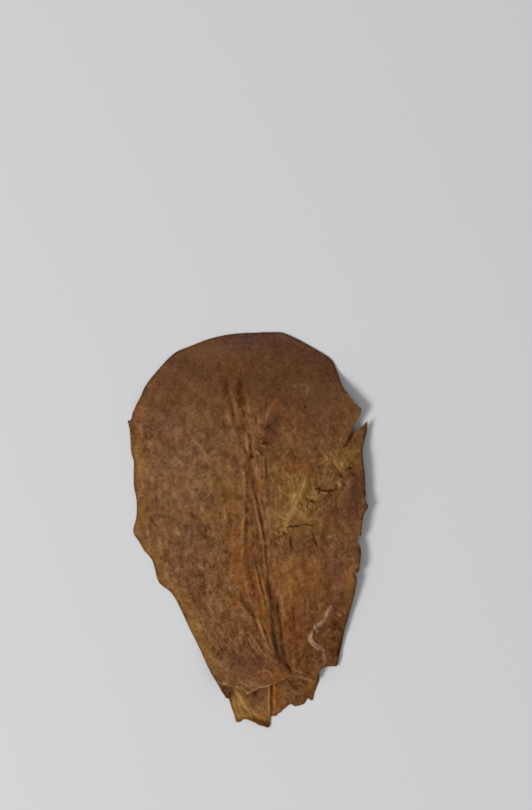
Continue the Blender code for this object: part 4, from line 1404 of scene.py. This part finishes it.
@dataclass(frozen=True)
class Blade(Layer):
    """The leaf's blade, from its tip to the tear across its lower end."""

    outline: Outline = BLADE_OUTLINE
    seed: int = 31
    deepest: float = 0.26
    spare_height: float = 0.2
    spare_from: Pair = (0.2, 2.0)
    crinkled_from: Pair = (-0.05, 0.6)
    crinkled_under_from: Pair = (0.1, 1.2)
    vein_furrow: float = 0.05
    midrib_crest: float = 0.14
    midrib_furrow: float = 0.24
    midrib_lines: Pair = (16.0, -37.0)
    rim_band: Pair = (0.55, 0.1)
    rim_ragged: float = 0.25
    rim_fibre: float = 0.65
    rim_fibre_varies: float = 1.8
    rim_fibre_bounds: Pair = (0.15, 1.2)
    olive_band: Pair = (4.2, 1.2)
    olive_ragged: float = 0.9
    olive_tip: float = 27.0
    olive_foot: Pair = (-42.0, -36.0)
    olive_shade: float = 0.5
    # How wide and how strong the painted shade along the margins is
    edge_shade_band: float = 0.8
    edge_shade: float = 0.6
    strip_shade: float = 0.4
    # Painted highlight on the midrib's crest, and painted shade in its furrow
    crest_highlight: float = 0.6
    furrow_shade: float = 0.5
    furrow_deep_shade: float = 0.22
    vein_broadening: float = 1.6

    def raised(self, under: Array) -> Array:
        """Returns the under face's height, a little more where the blade stands clear of the table."""
        return under + self.spare_height * ease(*self.spare_from, under)

    def upper(self, x: Array, y: Array) -> Array:
        """Works out the upper face.

        Args:
            x: Places across the leaf.
            y: Places along the leaf.

        Returns:
            Its height.
        """
        midrib, veins, under = self.form.midrib, self.form.veins, self.form.under(x, y)
        height = self.raised(under) + self.thickness
        height += self.crinkle.height(x, y) * ease(*self.crinkled_from, under)
        detail = self.midrib_crest * midrib.crest(x, y) - self.midrib_furrow * midrib.furrow(x, y)
        detail -= self.vein_furrow * veins.closeness(x, y, veins.line_half_width)
        for crease in MIDRIB_CREASES + WRINKLES + CRACKS + TEAR_STRANDS:
            detail += crease.height * crease.closeness(x, y)
        return np.maximum(height + np.maximum(detail, -self.deepest), self.thickness * self.thinnest)

    def lower(self, x: Array, y: Array) -> Array:
        """Works out the under face, with its ribs.

        Args:
            x: Places across the leaf.
            y: Places along the leaf.

        Returns:
            Its height.
        """
        veins, under = self.form.veins, self.form.under(x, y)
        ribs = self.form.midrib.rib(x, y) + veins.depth * veins.closeness(x, y, veins.half_width)
        height = self.raised(under) - ribs
        height += self.crinkle.height(x, y) * ease(*self.crinkled_under_from, under)
        return np.maximum(height, 0.0)

    def fibres(self, x: Array, y: Array) -> tuple[Array, Array]:
        """Returns each point's place across and along the fibres."""
        return self.crinkle.fibres(x, y)

    def lines(self) -> list[Array]:
        """Draws the lines that the upper face's triangles follow: the midrib, the cracks and the strands.

        Returns:
            The lines.
        """
        y = np.arange(*self.midrib_lines, -self.strand_pitch)
        midrib = Polyline(np.stack([self.form.midrib.x_at(y), y], axis=1))
        lines = midrib.strands(self.strand_spacing, 4)
        for crease in CRACKS + TEAR_STRANDS:
            lines += Polyline(crease.line(self.strand_pitch)).strands(self.strand_spacing, 2)
        return lines

    def marks(self, x: Array, y: Array, rim: Rim) -> dict[Mark, Array]:
        """Works out the marks on the blade's upper face.

        Args:
            x: Places across the leaf.
            y: Places along the leaf.
            rim: The blade's rim.

        Returns:
            One value from 0 to 1 for each point, for each mark.
        """
        marks = patched(BLADE_PATCHES, MIDRIB_CREASES + WRINKLES, x, y)
        midrib, veins = self.form.midrib, self.form.veins
        # Painted highlight on the crests of the fine wrinkles and of the midrib, painted shade in their
        # furrows, and deep painted shade in the midrib's narrow furrow
        furrow = midrib.furrow(x, y)
        relief = self.crinkle.shading(x, y) + self.crest_highlight * midrib.crest(x, y)
        marks[Mark.LIGHT] += np.maximum(relief, 0.0)
        marks[Mark.DARK] += np.maximum(-relief, 0.0) + self.furrow_shade * furrow
        # The dark of the splits, partly painted shade inside them
        marks[Mark.CRACK_AND_SHADE] += sum(-crack.tint * crack.closeness(x, y) for crack in CRACKS)
        marks[Mark.CRACK_AND_SHADE] += self.furrow_deep_shade * furrow
        marks[Mark.LIP] = sum(strand.tint * strand.closeness(x, y) for strand in TEAR_STRANDS)
        marks[Mark.BAND] = midrib.band(x, y)
        marks[Mark.VEIN] = veins.closeness(x, y, veins.line_half_width * self.vein_broadening)
        marks[Mark.RUSSET] += self.strip_shade * self.form.strip_share(x, y)
        marks[Mark.LIVELY] = self.crinkle.lively(x, y)
        away, _, number = rim.line.nearest(x, y, self.rim_reach)
        paleness = rim.paleness[number]
        # Painted shade along the grown margins, where the blade curves down away from the light; little on
        # pale torn edges
        marks[Mark.DARK] += self.edge_shade * ease(self.edge_shade_band, 0.0, away) * (1.0 - paleness) ** 2
        torn_edge = away + self.rim_ragged * Noise(24, 0.9, octaves=2).at(x, y)
        patchy = self.rim_fibre + self.rim_fibre_varies * Noise(25, 2.6, octaves=2).at(x, y)
        patchy = np.clip(patchy, *self.rim_fibre_bounds)
        # Pale bare fibre along torn edges, with painted highlight where the edge catches the light
        marks[Mark.PALE_AND_HIGHLIGHT] += paleness * patchy * ease(*self.rim_band, torn_edge)
        ragged = away + self.olive_ragged * Noise(23, 2.2, octaves=3).at(x, y)
        left = (x < midrib.x_at(y)) & (y < self.olive_tip)
        olive = self.olive_shade * ease(*self.olive_band, ragged)
        marks[Mark.OLIVE] += olive * left * ease(*self.olive_foot, y)
        return marks


@dataclass(frozen=True)
class Foot(Layer):
    """The torn foot of the blade, which has slid under the rest."""

    outline: Outline = FOOT_OUTLINE
    seed: int = 41
    rim_reach: float = 2.0
    overlap: float = 0.28
    comes_free: Pair = (-31.5, -38.0)
    comes_down: Pair = (-38.0, -46.5)
    shows: Pair = (-37.0, -42.0)
    gap_left: float = 1.7
    gap_right: float = 0.7
    gap_grows: Pair = (12.0, -8.0)
    step_x: float = 6.4
    step_width: float = 0.7
    step_height: float = 0.34
    step_starts: Pair = (-41.0, -43.5)
    step_grows: Pair = (-4.0, 3.0)
    pucker: float = 0.8
    lean: float = 0.45
    streak: float = 0.05
    streak_width: float = 0.9
    streak_length: float = 6.0
    # How strong the painted highlight and shade of the foot's streaks are
    streak_shade: float = 0.15
    streak_shade_left: float = 0.2
    streak_shade_edge: float = 0.3
    pucker_shade: float = 0.4
    # How wide and how strong the painted shade along the foot's edges is
    edge_shade_band: float = 0.8
    edge_shade: float = 0.7
    rim_band: float = 0.3

    def base(self, x: Array, y: Array) -> Array:
        """Works out the foot's under face, hung from the blade at its root and lying on the table below.

        Args:
            x: Places across the leaf.
            y: Places along the leaf.

        Returns:
            Its height.
        """
        free_gap = self.gap_right + (self.gap_left - self.gap_right) * ease(*self.gap_grows, x)
        gap = -self.overlap + (free_gap + self.overlap) * ease(*self.comes_free, y)
        hung = self.form.under(x, y) - gap - self.thickness
        half = self.step_width / 2.0
        step = self.step_height * ease(self.step_x + half, self.step_x - half, x)
        lying = step * ease(*self.step_starts, y) * ease(*self.step_grows, x)
        lying += sum(fold.height * fold.closeness(x, y) for fold in FOOT_FOLDS)
        down = ease(*self.comes_down, y)
        return np.maximum(hung * (1.0 - down) + lying * down, 0.0)

    def fibres(self, x: Array, y: Array) -> tuple[Array, Array]:
        """Returns each point's place across and along the fibres, which lean a little."""
        return x + self.lean * y, y

    def streaks(self, x: Array, y: Array) -> Array:
        """Returns the fibres' long streaks, from about -1 to 1."""
        across, along = self.fibres(x, y)
        return Noise(21, 1.0, octaves=3).at(across / self.streak_width, along / self.streak_length)

    def upper(self, x: Array, y: Array) -> Array:
        """Works out the upper face.

        Args:
            x: Places across the leaf.
            y: Places along the leaf.

        Returns:
            Its height.
        """
        detail = self.pucker * self.crinkle.height(x, y) + self.streak * self.streaks(x, y)
        detail += sum(crease.height * crease.closeness(x, y) for crease in FOOT_CREASES)
        height = self.base(x, y) + self.thickness + detail * ease(*self.shows, y)
        return np.maximum(height, self.thickness * self.thinnest)

    def lower(self, x: Array, y: Array) -> Array:
        """Returns the height of the under face."""
        return self.base(x, y)

    def lines(self) -> list[Array]:
        """Returns the lines that the upper face's triangles follow."""
        paths = [Polyline(crease.line(self.strand_pitch)) for crease in FOOT_CREASES]
        return [line for path in paths for line in path.strands(self.strand_spacing, 1)]

    def marks(self, x: Array, y: Array, rim: Rim) -> dict[Mark, Array]:
        """Works out the marks on the foot's upper face.

        Args:
            x: Places across the leaf.
            y: Places along the leaf.
            rim: The foot's rim.

        Returns:
            One value from 0 to 1 for each point, for each mark.
        """
        marks = patched(FOOT_PATCHES, FOOT_CREASES, x, y)
        # Painted highlight on the crests of the streaks and puckers, and painted shade in their furrows
        left = ease(self.step_x + self.streak_shade_edge, self.step_x - self.streak_shade_edge, x)
        relief = self.streaks(x, y) * (self.streak_shade + self.streak_shade_left * left)
        relief += self.pucker_shade * self.crinkle.puckers(x, y)
        away, _, number = rim.line.nearest(x, y, self.rim_reach)
        marks[Mark.LIGHT] += np.maximum(relief, 0.0)
        # Painted shade in the furrows and along the foot's edges
        marks[Mark.DARK] += np.maximum(-relief, 0.0) + self.edge_shade * ease(self.edge_shade_band, 0.0, away)
        marks[Mark.PALE_AND_HIGHLIGHT] += rim.paleness[number] * ease(self.rim_band, 0.0, away)
        marks[Mark.LIVELY] += 1.0
        return marks


# A scale of noise: its grain in millimetres, its detail, and the values where it begins and is in full
Scale = tuple[float, float, float, float]


class Lay(Enum):
    """How one colour is laid over another."""

    OVER = "MIX"
    BRIGHTEN = "ADD"
    SHADE = "MULTIPLY"


@dataclass(frozen=True)
class Mottle:
    """Blotches of one colour at one scale, fainter where the leaf is calm if they are calmed."""

    scale: Scale
    colour: str
    strength: float
    lay: Lay = Lay.OVER
    calmed: bool = True


@dataclass(frozen=True)
class Tint:
    """A colour that the finish lays where a mark is strong."""

    mark: Mark
    colour: str
    strength: float
    lay: Lay = Lay.OVER
    broken: bool = True


def add(tree: Tree, kind: str, inputs: dict | None = None, **settings: object) -> Node:
    """Adds a node to a shader.

    Args:
        tree: The shader's node tree.
        kind: Blender's name for the kind of node.
        inputs: For an input's name or number, a value, or the socket or node that it is linked from. A node
            is linked from its first output.
        settings: The node's other settings.

    Returns:
        The new node.
    """
    node = tree.nodes.new(kind)
    for name, value in settings.items():
        setattr(node, name, value)
    for name, value in (inputs or {}).items():
        if isinstance(value, (Node, Socket)):
            tree.links.new(value.outputs[0] if isinstance(value, Node) else value, node.inputs[name])
        else:
            node.inputs[name].default_value = value
    return node


@dataclass(frozen=True)
class DriedLeafTissue:
    """Dead almond leaf, dried flat: tannin-brown, matt and fibrous, crossed by fine wandering crests.

    Tannins give it a warm brown that varies by the millimetre, in soft blotches and fine specks. The cuticle
    has lost its shine, so light scatters from it, and bare fibre shows paler where it is torn. The real net
    of veinlets is too fine to show, so its crests are drawn about three times as coarse.
    """

    browns: tuple[tuple[float, str], ...] = (
        (0.27, "#482A13"), (0.42, "#5C3B1E"), (0.50, "#674326"), (0.58, "#734E32"), (0.73, "#876144"),
    )
    middle_brown: str = "#62422A"
    fibre: Pair = (0.85, 2.2)
    fibre_detail: float = 3.0
    fibre_roughness: float = 0.6
    fibre_bend: float = 1.1
    fibre_bend_grain: float = 2.4
    fibre_height: float = 0.11
    clouds: tuple[Mottle, ...] = (
        Mottle((9.0, 2.0, 0.44, 0.66), "#5A301B", 0.38),
        Mottle((5.5, 2.0, 0.46, 0.68), "#7C562A", 0.30),
    )
    hue_grain: float = 5.0
    hues: tuple[Tint, ...] = (
        Tint(Mark.OLIVE, "#8C672A", 0.62),
        Tint(Mark.ORANGE, "#8A4C1B", 0.62),
        Tint(Mark.RUSSET, "#5E341D", 0.60),
        Tint(Mark.PURPLE, "#583A36", 0.70),
    )
    mottles: tuple[Mottle, ...] = (
        Mottle((3.4, 2.0, 0.50, 0.70), "#C8B494", 0.40, Lay.SHADE),
        Mottle((2.9, 2.0, 0.50, 0.70), "#463A2E", 0.30, Lay.BRIGHTEN),
        Mottle((0.8, 2.0, 0.54, 0.70), "#A88C60", 0.50, Lay.SHADE, calmed=False),
        Mottle((0.7, 1.0, 0.56, 0.72), "#4C4032", 0.42, Lay.BRIGHTEN, calmed=False),
    )
    mottle_shift: float = 53.0
    bend_detail: float = 2.0
    tint_grain: float = 1.3
    tint_detail: float = 3.0
    tint_breaks: Pair = (0.3, 0.7)
    tint_broken: Pair = (0.4, 1.4)
    # Some tints carry painted light as well as colour: shade in furrows, splits, under the torn flap and
    # along the margins, and highlight on crests and torn edges
    tints: tuple[Tint, ...] = (
        Tint(Mark.BAND, "#3F2817", 0.85, broken=False),
        # Darker tissue and painted shade: in furrows, under the torn flap, along the margins and over the
        # tip end
        Tint(Mark.DARK, "#AF8E59", 1.00, Lay.SHADE),
        # Lighter tissue and painted highlight on crests
        Tint(Mark.LIGHT, "#6C5534", 0.85, Lay.BRIGHTEN),
        Tint(Mark.VEIN, "#452A14", 0.20),
        Tint(Mark.UNDER, "#866440", 0.55, broken=False),
        # Bare fibre, and painted highlight on torn edges and strong crests
        Tint(Mark.PALE_AND_HIGHLIGHT, "#B58A58", 0.80),
        Tint(Mark.LIP, "#B58E73", 0.92),
        # Nearly black: painted shade in the splits and the midrib's furrow, over the splits' own dark
        Tint(Mark.CRACK_AND_SHADE, "#2A1100", 1.00, broken=False),
    )
    veinlet_grain: float = 1.7
    veinlet_detail: float = 2.0
    veinlet_bounds: Pair = (0.82, 1.35)
    veinlet_colour: str = "#8C6A48"
    veinlet_strength: float = 0.42
    veinlet_height: float = 0.04
    veinlet_bend: float = 0.9
    veinlet_bend_grain: float = 1.4
    veinlet_scale: Scale = (1.9, 2.0, 0.42, 0.66)
    grain: float = 0.7
    grain_detail: float = 4.0
    grain_depth: float = 0.04
    roughness: Pair = (0.66, 0.86)
    roughness_scale: Scale = (1.6, 3.0, 0.3, 0.7)
    specular: float = 0.04

    def material(self) -> bpy.types.Material:
        """Makes the material.

        Returns:
            The material, which reads the marks from the mesh that it is put on.
        """
        material = bpy.data.materials.new("dried_leaf_tissue")
        material.use_nodes = True
        tree = material.node_tree
        tree.nodes.clear()
        place = add(tree, "ShaderNodeTexCoord").outputs["Object"]
        mm = add(tree, "ShaderNodeVectorMath", {0: place, 1: (1.0 / MM,) * 3}, operation="MULTIPLY")
        lively = add(tree, "ShaderNodeAttribute", attribute_name=Mark.LIVELY.value).outputs["Fac"]
        fibres = self._fibres(tree, mm)
        colour = self._mottled(tree, mm, self._browns(tree, fibres, lively), lively, self.clouds)
        colour = self._tinted(tree, mm, colour, self.hues, self.hue_grain)
        veinlets = self._veinlets(tree, mm, lively)
        colour = self._laid(tree, colour, self.veinlet_colour, veinlets)
        colour = self._mottled(tree, mm, colour, lively, self.mottles)
        colour = self._tinted(tree, mm, colour, self.tints, self.tint_grain)
        rough = self._noise(tree, mm, self.roughness_scale)
        smoothest, roughest = self.roughness
        shader = add(tree, "ShaderNodeBsdfPrincipled", {
            "Base Color": colour,
            "Roughness": add(tree, "ShaderNodeMapRange", {0: rough, 3: smoothest, 4: roughest}),
            "Specular IOR Level": self.specular,
            "Normal": self._relief(tree, mm, veinlets, fibres),
        })
        add(tree, "ShaderNodeOutputMaterial", {"Surface": shader})
        return material

    def _fibres(self, tree: Tree, mm: Node) -> Node:
        """Adds the short wavy fibres.

        Args:
            tree: The shader's node tree.
            mm: The place on the leaf in millimetres.

        Returns:
            From about 0 in the furrows to 1 on the crests.
        """
        place = add(tree, "ShaderNodeAttribute", attribute_name=FIBRE_PLACE).outputs["Vector"]
        moved = self._bent(tree, mm, place, self.fibre_bend, self.fibre_bend_grain)
        width, length = self.fibre
        drawn_out = {0: moved, 1: (1.0 / width, 1.0 / length, 1.0)}
        return add(tree, "ShaderNodeTexNoise", {
            "Vector": add(tree, "ShaderNodeVectorMath", drawn_out, operation="MULTIPLY"),
            "Scale": 1.0,
            "Detail": self.fibre_detail,
            "Roughness": self.fibre_roughness,
        })

    def _bent(self, tree: Tree, mm: Node, place: Node | Socket, bend: float, grain: float) -> Node:
        """Moves a place to and fro.

        Args:
            tree: The shader's node tree.
            mm: The place on the leaf in millimetres.
            place: The place to move.
            bend: How far it moves at most, in millimetres.
            grain: Over what length it does so, in millimetres.

        Returns:
            The moved place.
        """
        bends = {"Vector": mm, "Scale": 1.0 / grain, "Detail": self.bend_detail}
        noise = add(tree, "ShaderNodeTexNoise", bends)
        wavy = {0: noise.outputs["Color"], 1: (bend,) * 3, 2: place}
        return add(tree, "ShaderNodeVectorMath", wavy, operation="MULTIPLY_ADD")

    def _browns(self, tree: Tree, fibres: Node, lively: Socket) -> Socket:
        """Adds the browns, light on the fibres and dark between them, and more alike where it is calm.

        Args:
            tree: The shader's node tree.
            fibres: The fibres, from 0 to 1.
            lively: How lively the tissue is, from 0 to 1.

        Returns:
            The colour.
        """
        ramp = add(tree, "ShaderNodeValToRGB", {0: fibres})
        first, last = ramp.color_ramp.elements
        for element, (place, brown) in ((first, self.browns[0]), (last, self.browns[-1])):
            element.position = place
            element.color = linear(brown)
        for place, brown in self.browns[1:-1]:
            ramp.color_ramp.elements.new(place).color = linear(brown)
        mixed = {0: lively, 6: linear(self.middle_brown), 7: ramp}
        return add(tree, "ShaderNodeMix", mixed, data_type="RGBA").outputs[2]

    def _laid(self, tree: Tree, under: Socket, colour: str, share: Node, lay: Lay = Lay.OVER) -> Socket:
        """Lays a colour on what is there, as far as the share says."""
        mixed = {0: share, 6: under, 7: linear(colour)}
        return add(tree, "ShaderNodeMix", mixed, data_type="RGBA", blend_type=lay.value).outputs[2]

    def _mottled(
        self, tree: Tree, mm: Node, colour: Socket, lively: Socket, mottles: tuple[Mottle, ...]
    ) -> Socket:
        """Lays mottles on the colour, each from another part of the noise so that no two fall together.

        Args:
            tree: The shader's node tree.
            mm: The place on the leaf in millimetres.
            colour: The colour so far.
            lively: How lively the tissue is, from 0 to 1.
            mottles: The mottles, in order.

        Returns:
            The new colour.
        """
        for mottle in mottles:
            shift = {0: mm, 1: (mottle.scale[0] * self.mottle_shift, 0.0, 0.0)}
            moved = add(tree, "ShaderNodeVectorMath", shift)
            share = self._noise(tree, moved, mottle.scale, mottle.strength)
            if mottle.calmed:
                share = add(tree, "ShaderNodeMath", {0: share, 1: lively}, operation="MULTIPLY")
            colour = self._laid(tree, colour, mottle.colour, share, mottle.lay)
        return colour

    def _noise(self, tree: Tree, mm: Node, scale: Scale, strength: float = 1.0) -> Node:
        """Adds one scale of noise, stretched so that it fills its range.

        Args:
            tree: The shader's node tree.
            mm: The place on the leaf in millimetres.
            scale: The scale of noise.
            strength: The highest value.

        Returns:
            From 0 to the strength.
        """
        grain, detail, low, high = scale
        noise = add(tree, "ShaderNodeTexNoise", {"Vector": mm, "Scale": 1.0 / grain, "Detail": detail})
        return add(tree, "ShaderNodeMapRange", {0: noise, 1: low, 2: high, 4: strength})

    def _veinlets(self, tree: Tree, mm: Node, lively: Socket) -> Node:
        """Adds the thin wandering crests that the veinlets raise.

        Args:
            tree: The shader's node tree.
            mm: The place on the leaf in millimetres.
            lively: How lively the tissue is, from 0 to 1.

        Returns:
            The crests' strength, and 0 between them.
        """
        ridges = add(tree, "ShaderNodeTexNoise", {
            "Vector": self._bent(tree, mm, mm, self.veinlet_bend, self.veinlet_bend_grain),
            "Scale": 1.0 / self.veinlet_grain,
            "Detail": self.veinlet_detail,
            "Offset": 1.0,
        }, noise_type="RIDGED_MULTIFRACTAL")
        low, high = self.veinlet_bounds
        both = {
            0: add(tree, "ShaderNodeMapRange", {0: ridges, 1: low, 2: high}),
            1: self._noise(tree, mm, self.veinlet_scale, self.veinlet_strength),
        }
        seen = add(tree, "ShaderNodeMath", both, operation="MULTIPLY")
        return add(tree, "ShaderNodeMath", {0: seen, 1: lively}, operation="MULTIPLY")

    def _tinted(self, tree: Tree, mm: Node, colour: Socket, tints: tuple[Tint, ...], grain: float) -> Socket:
        """Lays each tint where its mark is strong, broken up so that none has a smooth edge.

        Args:
            tree: The shader's node tree.
            mm: The place on the leaf in millimetres.
            colour: The colour so far.
            tints: The tints, in order.
            grain: The size of the breaks in millimetres.

        Returns:
            The new colour.
        """
        uneven = {"Vector": mm, "Scale": 1.0 / grain, "Detail": self.tint_detail}
        low, high = self.tint_breaks
        least, most = self.tint_broken
        stretch = {0: add(tree, "ShaderNodeTexNoise", uneven), 1: low, 2: high, 3: least, 4: most}
        broken = add(tree, "ShaderNodeMapRange", stretch)
        for tint in tints:
            mark = add(tree, "ShaderNodeAttribute", attribute_name=tint.mark.value).outputs["Fac"]
            strength = {0: mark, 1: tint.strength}
            share = add(tree, "ShaderNodeMath", strength, operation="MULTIPLY", use_clamp=True)
            if tint.broken:
                both = {0: share, 1: broken}
                share = add(tree, "ShaderNodeMath", both, operation="MULTIPLY", use_clamp=True)
            colour = self._laid(tree, colour, tint.colour, share, tint.lay)
        return colour

    def _relief(self, tree: Tree, mm: Node, veinlets: Node, fibres: Node) -> Node:
        """Adds the relief that is too fine for the mesh: fibres, raised veinlets and the tissue's grain.

        Args:
            tree: The shader's node tree.
            mm: The place on the leaf in millimetres.
            veinlets: The crests of the veinlets.
            fibres: The fibres, from 0 to 1.

        Returns:
            The surface's direction.
        """
        grain = {"Vector": mm, "Scale": 1.0 / self.grain, "Detail": self.grain_detail}
        raised = {0: veinlets, 1: self.veinlet_height / self.veinlet_strength}
        fine = {
            0: add(tree, "ShaderNodeTexNoise", grain),
            1: self.grain_depth,
            2: add(tree, "ShaderNodeMath", raised, operation="MULTIPLY"),
        }
        all_three = {
            0: fibres,
            1: self.fibre_height,
            2: add(tree, "ShaderNodeMath", fine, operation="MULTIPLY_ADD"),
        }
        total = add(tree, "ShaderNodeMath", all_three, operation="MULTIPLY_ADD")
        return add(tree, "ShaderNodeBump", {"Distance": MM, "Height": total})


@dataclass(frozen=True)
class MattCard:
    """Plain matt card, the pale ground that the leaf lies on."""

    colour: str = "#C8C8CA"
    roughness: float = 0.9

    def material(self) -> bpy.types.Material:
        """Makes the material.

        Returns:
            The material.
        """
        material = bpy.data.materials.new("matt_card")
        material.use_nodes = True
        shader = material.node_tree.nodes["Principled BSDF"]
        shader.inputs["Base Color"].default_value = linear(self.colour)
        shader.inputs["Roughness"].default_value = self.roughness
        return material


@dataclass(frozen=True)
class DriedLeaf:
    """The whole leaf: its blade and its foot in one piece."""

    blade: Blade
    foot: Foot
    finish: DriedLeafTissue
    name: str = "dried_almond_leaf"
    rim_paleness: float = 0.7
    under_fade: float = 0.8

    def body(self, part: Blade | Foot) -> tuple[Shell, dict[Mark, Array], Array]:
        """Builds one closed sheet of the leaf.

        Args:
            part: The blade or the foot.

        Returns:
            The closed body, the marks on its points, and the points' places across and along the fibres.
        """
        rim = part.outline.rim(part.upper_pitch)
        upper = net(rim, part.lines(), part.upper_pitch, part.seed)
        under = net(rim, [], part.under_pitch, part.seed + 1)
        upper_z, under_z = part.upper(*upper.points.T), part.lower(*under.points.T)
        body = shell(upper, under, rim, upper_z, under_z, part.bulge)
        x, y = body.points[:, 0], body.points[:, 1]
        marks = part.marks(x, y, rim)
        marks[Mark.UNDER] = (np.arange(len(x)) >= body.under).astype(float)
        for mark in (Mark.DARK, Mark.LIGHT, Mark.BAND, Mark.CRACK_AND_SHADE, Mark.PALE_AND_HIGHLIGHT, Mark.LIP):
            marks[mark] = marks[mark] * (1.0 - self.under_fade * marks[Mark.UNDER])
        # The rim's own side: pale fibre, and painted highlight where a torn edge catches the light
        marks[Mark.PALE_AND_HIGHLIGHT][body.ring:] = rim.paleness * self.rim_paleness
        return body, marks, np.column_stack([*part.fibres(x, y), np.zeros(len(x))])

    def build(self) -> bpy.types.Object:
        """Builds the leaf, fits it to the solid's box and dresses it.

        Returns:
            The leaf as one object.
        """
        bodies, marks, fibres = zip(self.body(self.blade), self.body(self.foot))
        first = len(bodies[0].points)
        faces = bodies[0].faces + [tuple(i + first for i in face) for face in bodies[1].faces]
        mesh = bpy.data.meshes.new(self.name)
        mesh.from_pydata(self.fitted(np.vstack([body.points for body in bodies])).tolist(), [], faces)
        for mark in Mark:
            values = np.concatenate([own[mark] for own in marks]).clip(0.0, 1.0)
            attribute = mesh.attributes.new(mark.value, "FLOAT", "POINT")
            attribute.data.foreach_set("value", values.astype(np.float32))
        attribute = mesh.attributes.new(FIBRE_PLACE, "FLOAT_VECTOR", "POINT")
        attribute.data.foreach_set("vector", np.vstack(fibres).astype(np.float32).ravel())
        mesh.shade_smooth()
        mesh.materials.append(self.finish.material())
        leaf = bpy.data.objects.new(self.name, mesh)
        bpy.context.scene.collection.objects.link(leaf)
        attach(leaf, "root")
        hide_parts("leaf")
        log.info("%s: %d points, %d faces", self.name, len(mesh.vertices), len(faces))
        return leaf

    def fitted(self, points: Array) -> Array:
        """Moves points from the photograph's plane into the solid's box, and turns millimetres into metres.

        Args:
            points: The points in millimetres.

        Returns:
            The points in metres, in the frame.
        """
        low, high = (np.array(corner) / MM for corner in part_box("leaf"))
        own_low, own_high = points.min(axis=0), points.max(axis=0)
        share = (high - low) / (own_high - own_low)
        share[2] = min(share[2], 1.0)
        return ((points - own_low) * share + low) * MM


@dataclass(frozen=True)
class Studio:
    """A pale table top, soft light from the left and a camera straight above."""

    card: MattCard
    floor_size: float = 4.0
    frame_height: float = 0.225
    frame_centre: Pair = (0.00508, 0.0347)
    camera_height: float = 0.9
    sensor: float = 36.0
    key_place: tuple[float, float, float] = (-1.05, -0.45, 1.15)
    key_size: float = 0.6
    key_power: float = 22.0
    sky: float = 0.48
    background: str = "#FFFFFF"

    def build(self) -> None:
        """Builds the floor, the lights and the camera."""
        bpy.ops.mesh.primitive_plane_add(size=self.floor_size)
        floor = bpy.context.object
        floor.name = "floor"
        floor.data.materials.append(self.card.material())
        key = bpy.data.lights.new("key", "AREA")
        key.shape = "DISK"
        key.size = self.key_size
        key.energy = self.key_power
        lamp = bpy.data.objects.new("key", key)
        lamp.location = self.key_place
        lamp.rotation_euler = (-Vector(self.key_place)).to_track_quat("-Z", "Y").to_euler()
        bpy.context.scene.collection.objects.link(lamp)
        world = bpy.data.worlds.new("soft_room")
        world.use_nodes = True
        sky = world.node_tree.nodes["Background"]
        sky.inputs["Color"].default_value = linear(self.background)
        sky.inputs["Strength"].default_value = self.sky
        bpy.context.scene.world = world
        view = bpy.data.cameras.new("camera")
        view.sensor_width = self.sensor
        view.lens = self.sensor * self.camera_height / self.frame_height
        camera = bpy.data.objects.new("camera", view)
        camera.location = (*self.frame_centre, self.camera_height)
        bpy.context.scene.collection.objects.link(camera)
        bpy.context.scene.camera = camera
        bpy.context.scene.view_settings.view_transform = "Standard"
        log.info("studio: floor, key light, sky and camera")


def main() -> None:
    """Builds the leaf and the studio in order."""
    logging.basicConfig(level=logging.INFO, format="%(name)s: %(message)s")
    midrib = Midrib()
    form = BladeForm(midrib, SideVeins(midrib))
    crinkle = Crinkle(midrib)
    DriedLeaf(Blade(form, crinkle), Foot(form, crinkle), DriedLeafTissue()).build()
    Studio(MattCard()).build()


if __name__ == "__main__":
    main()
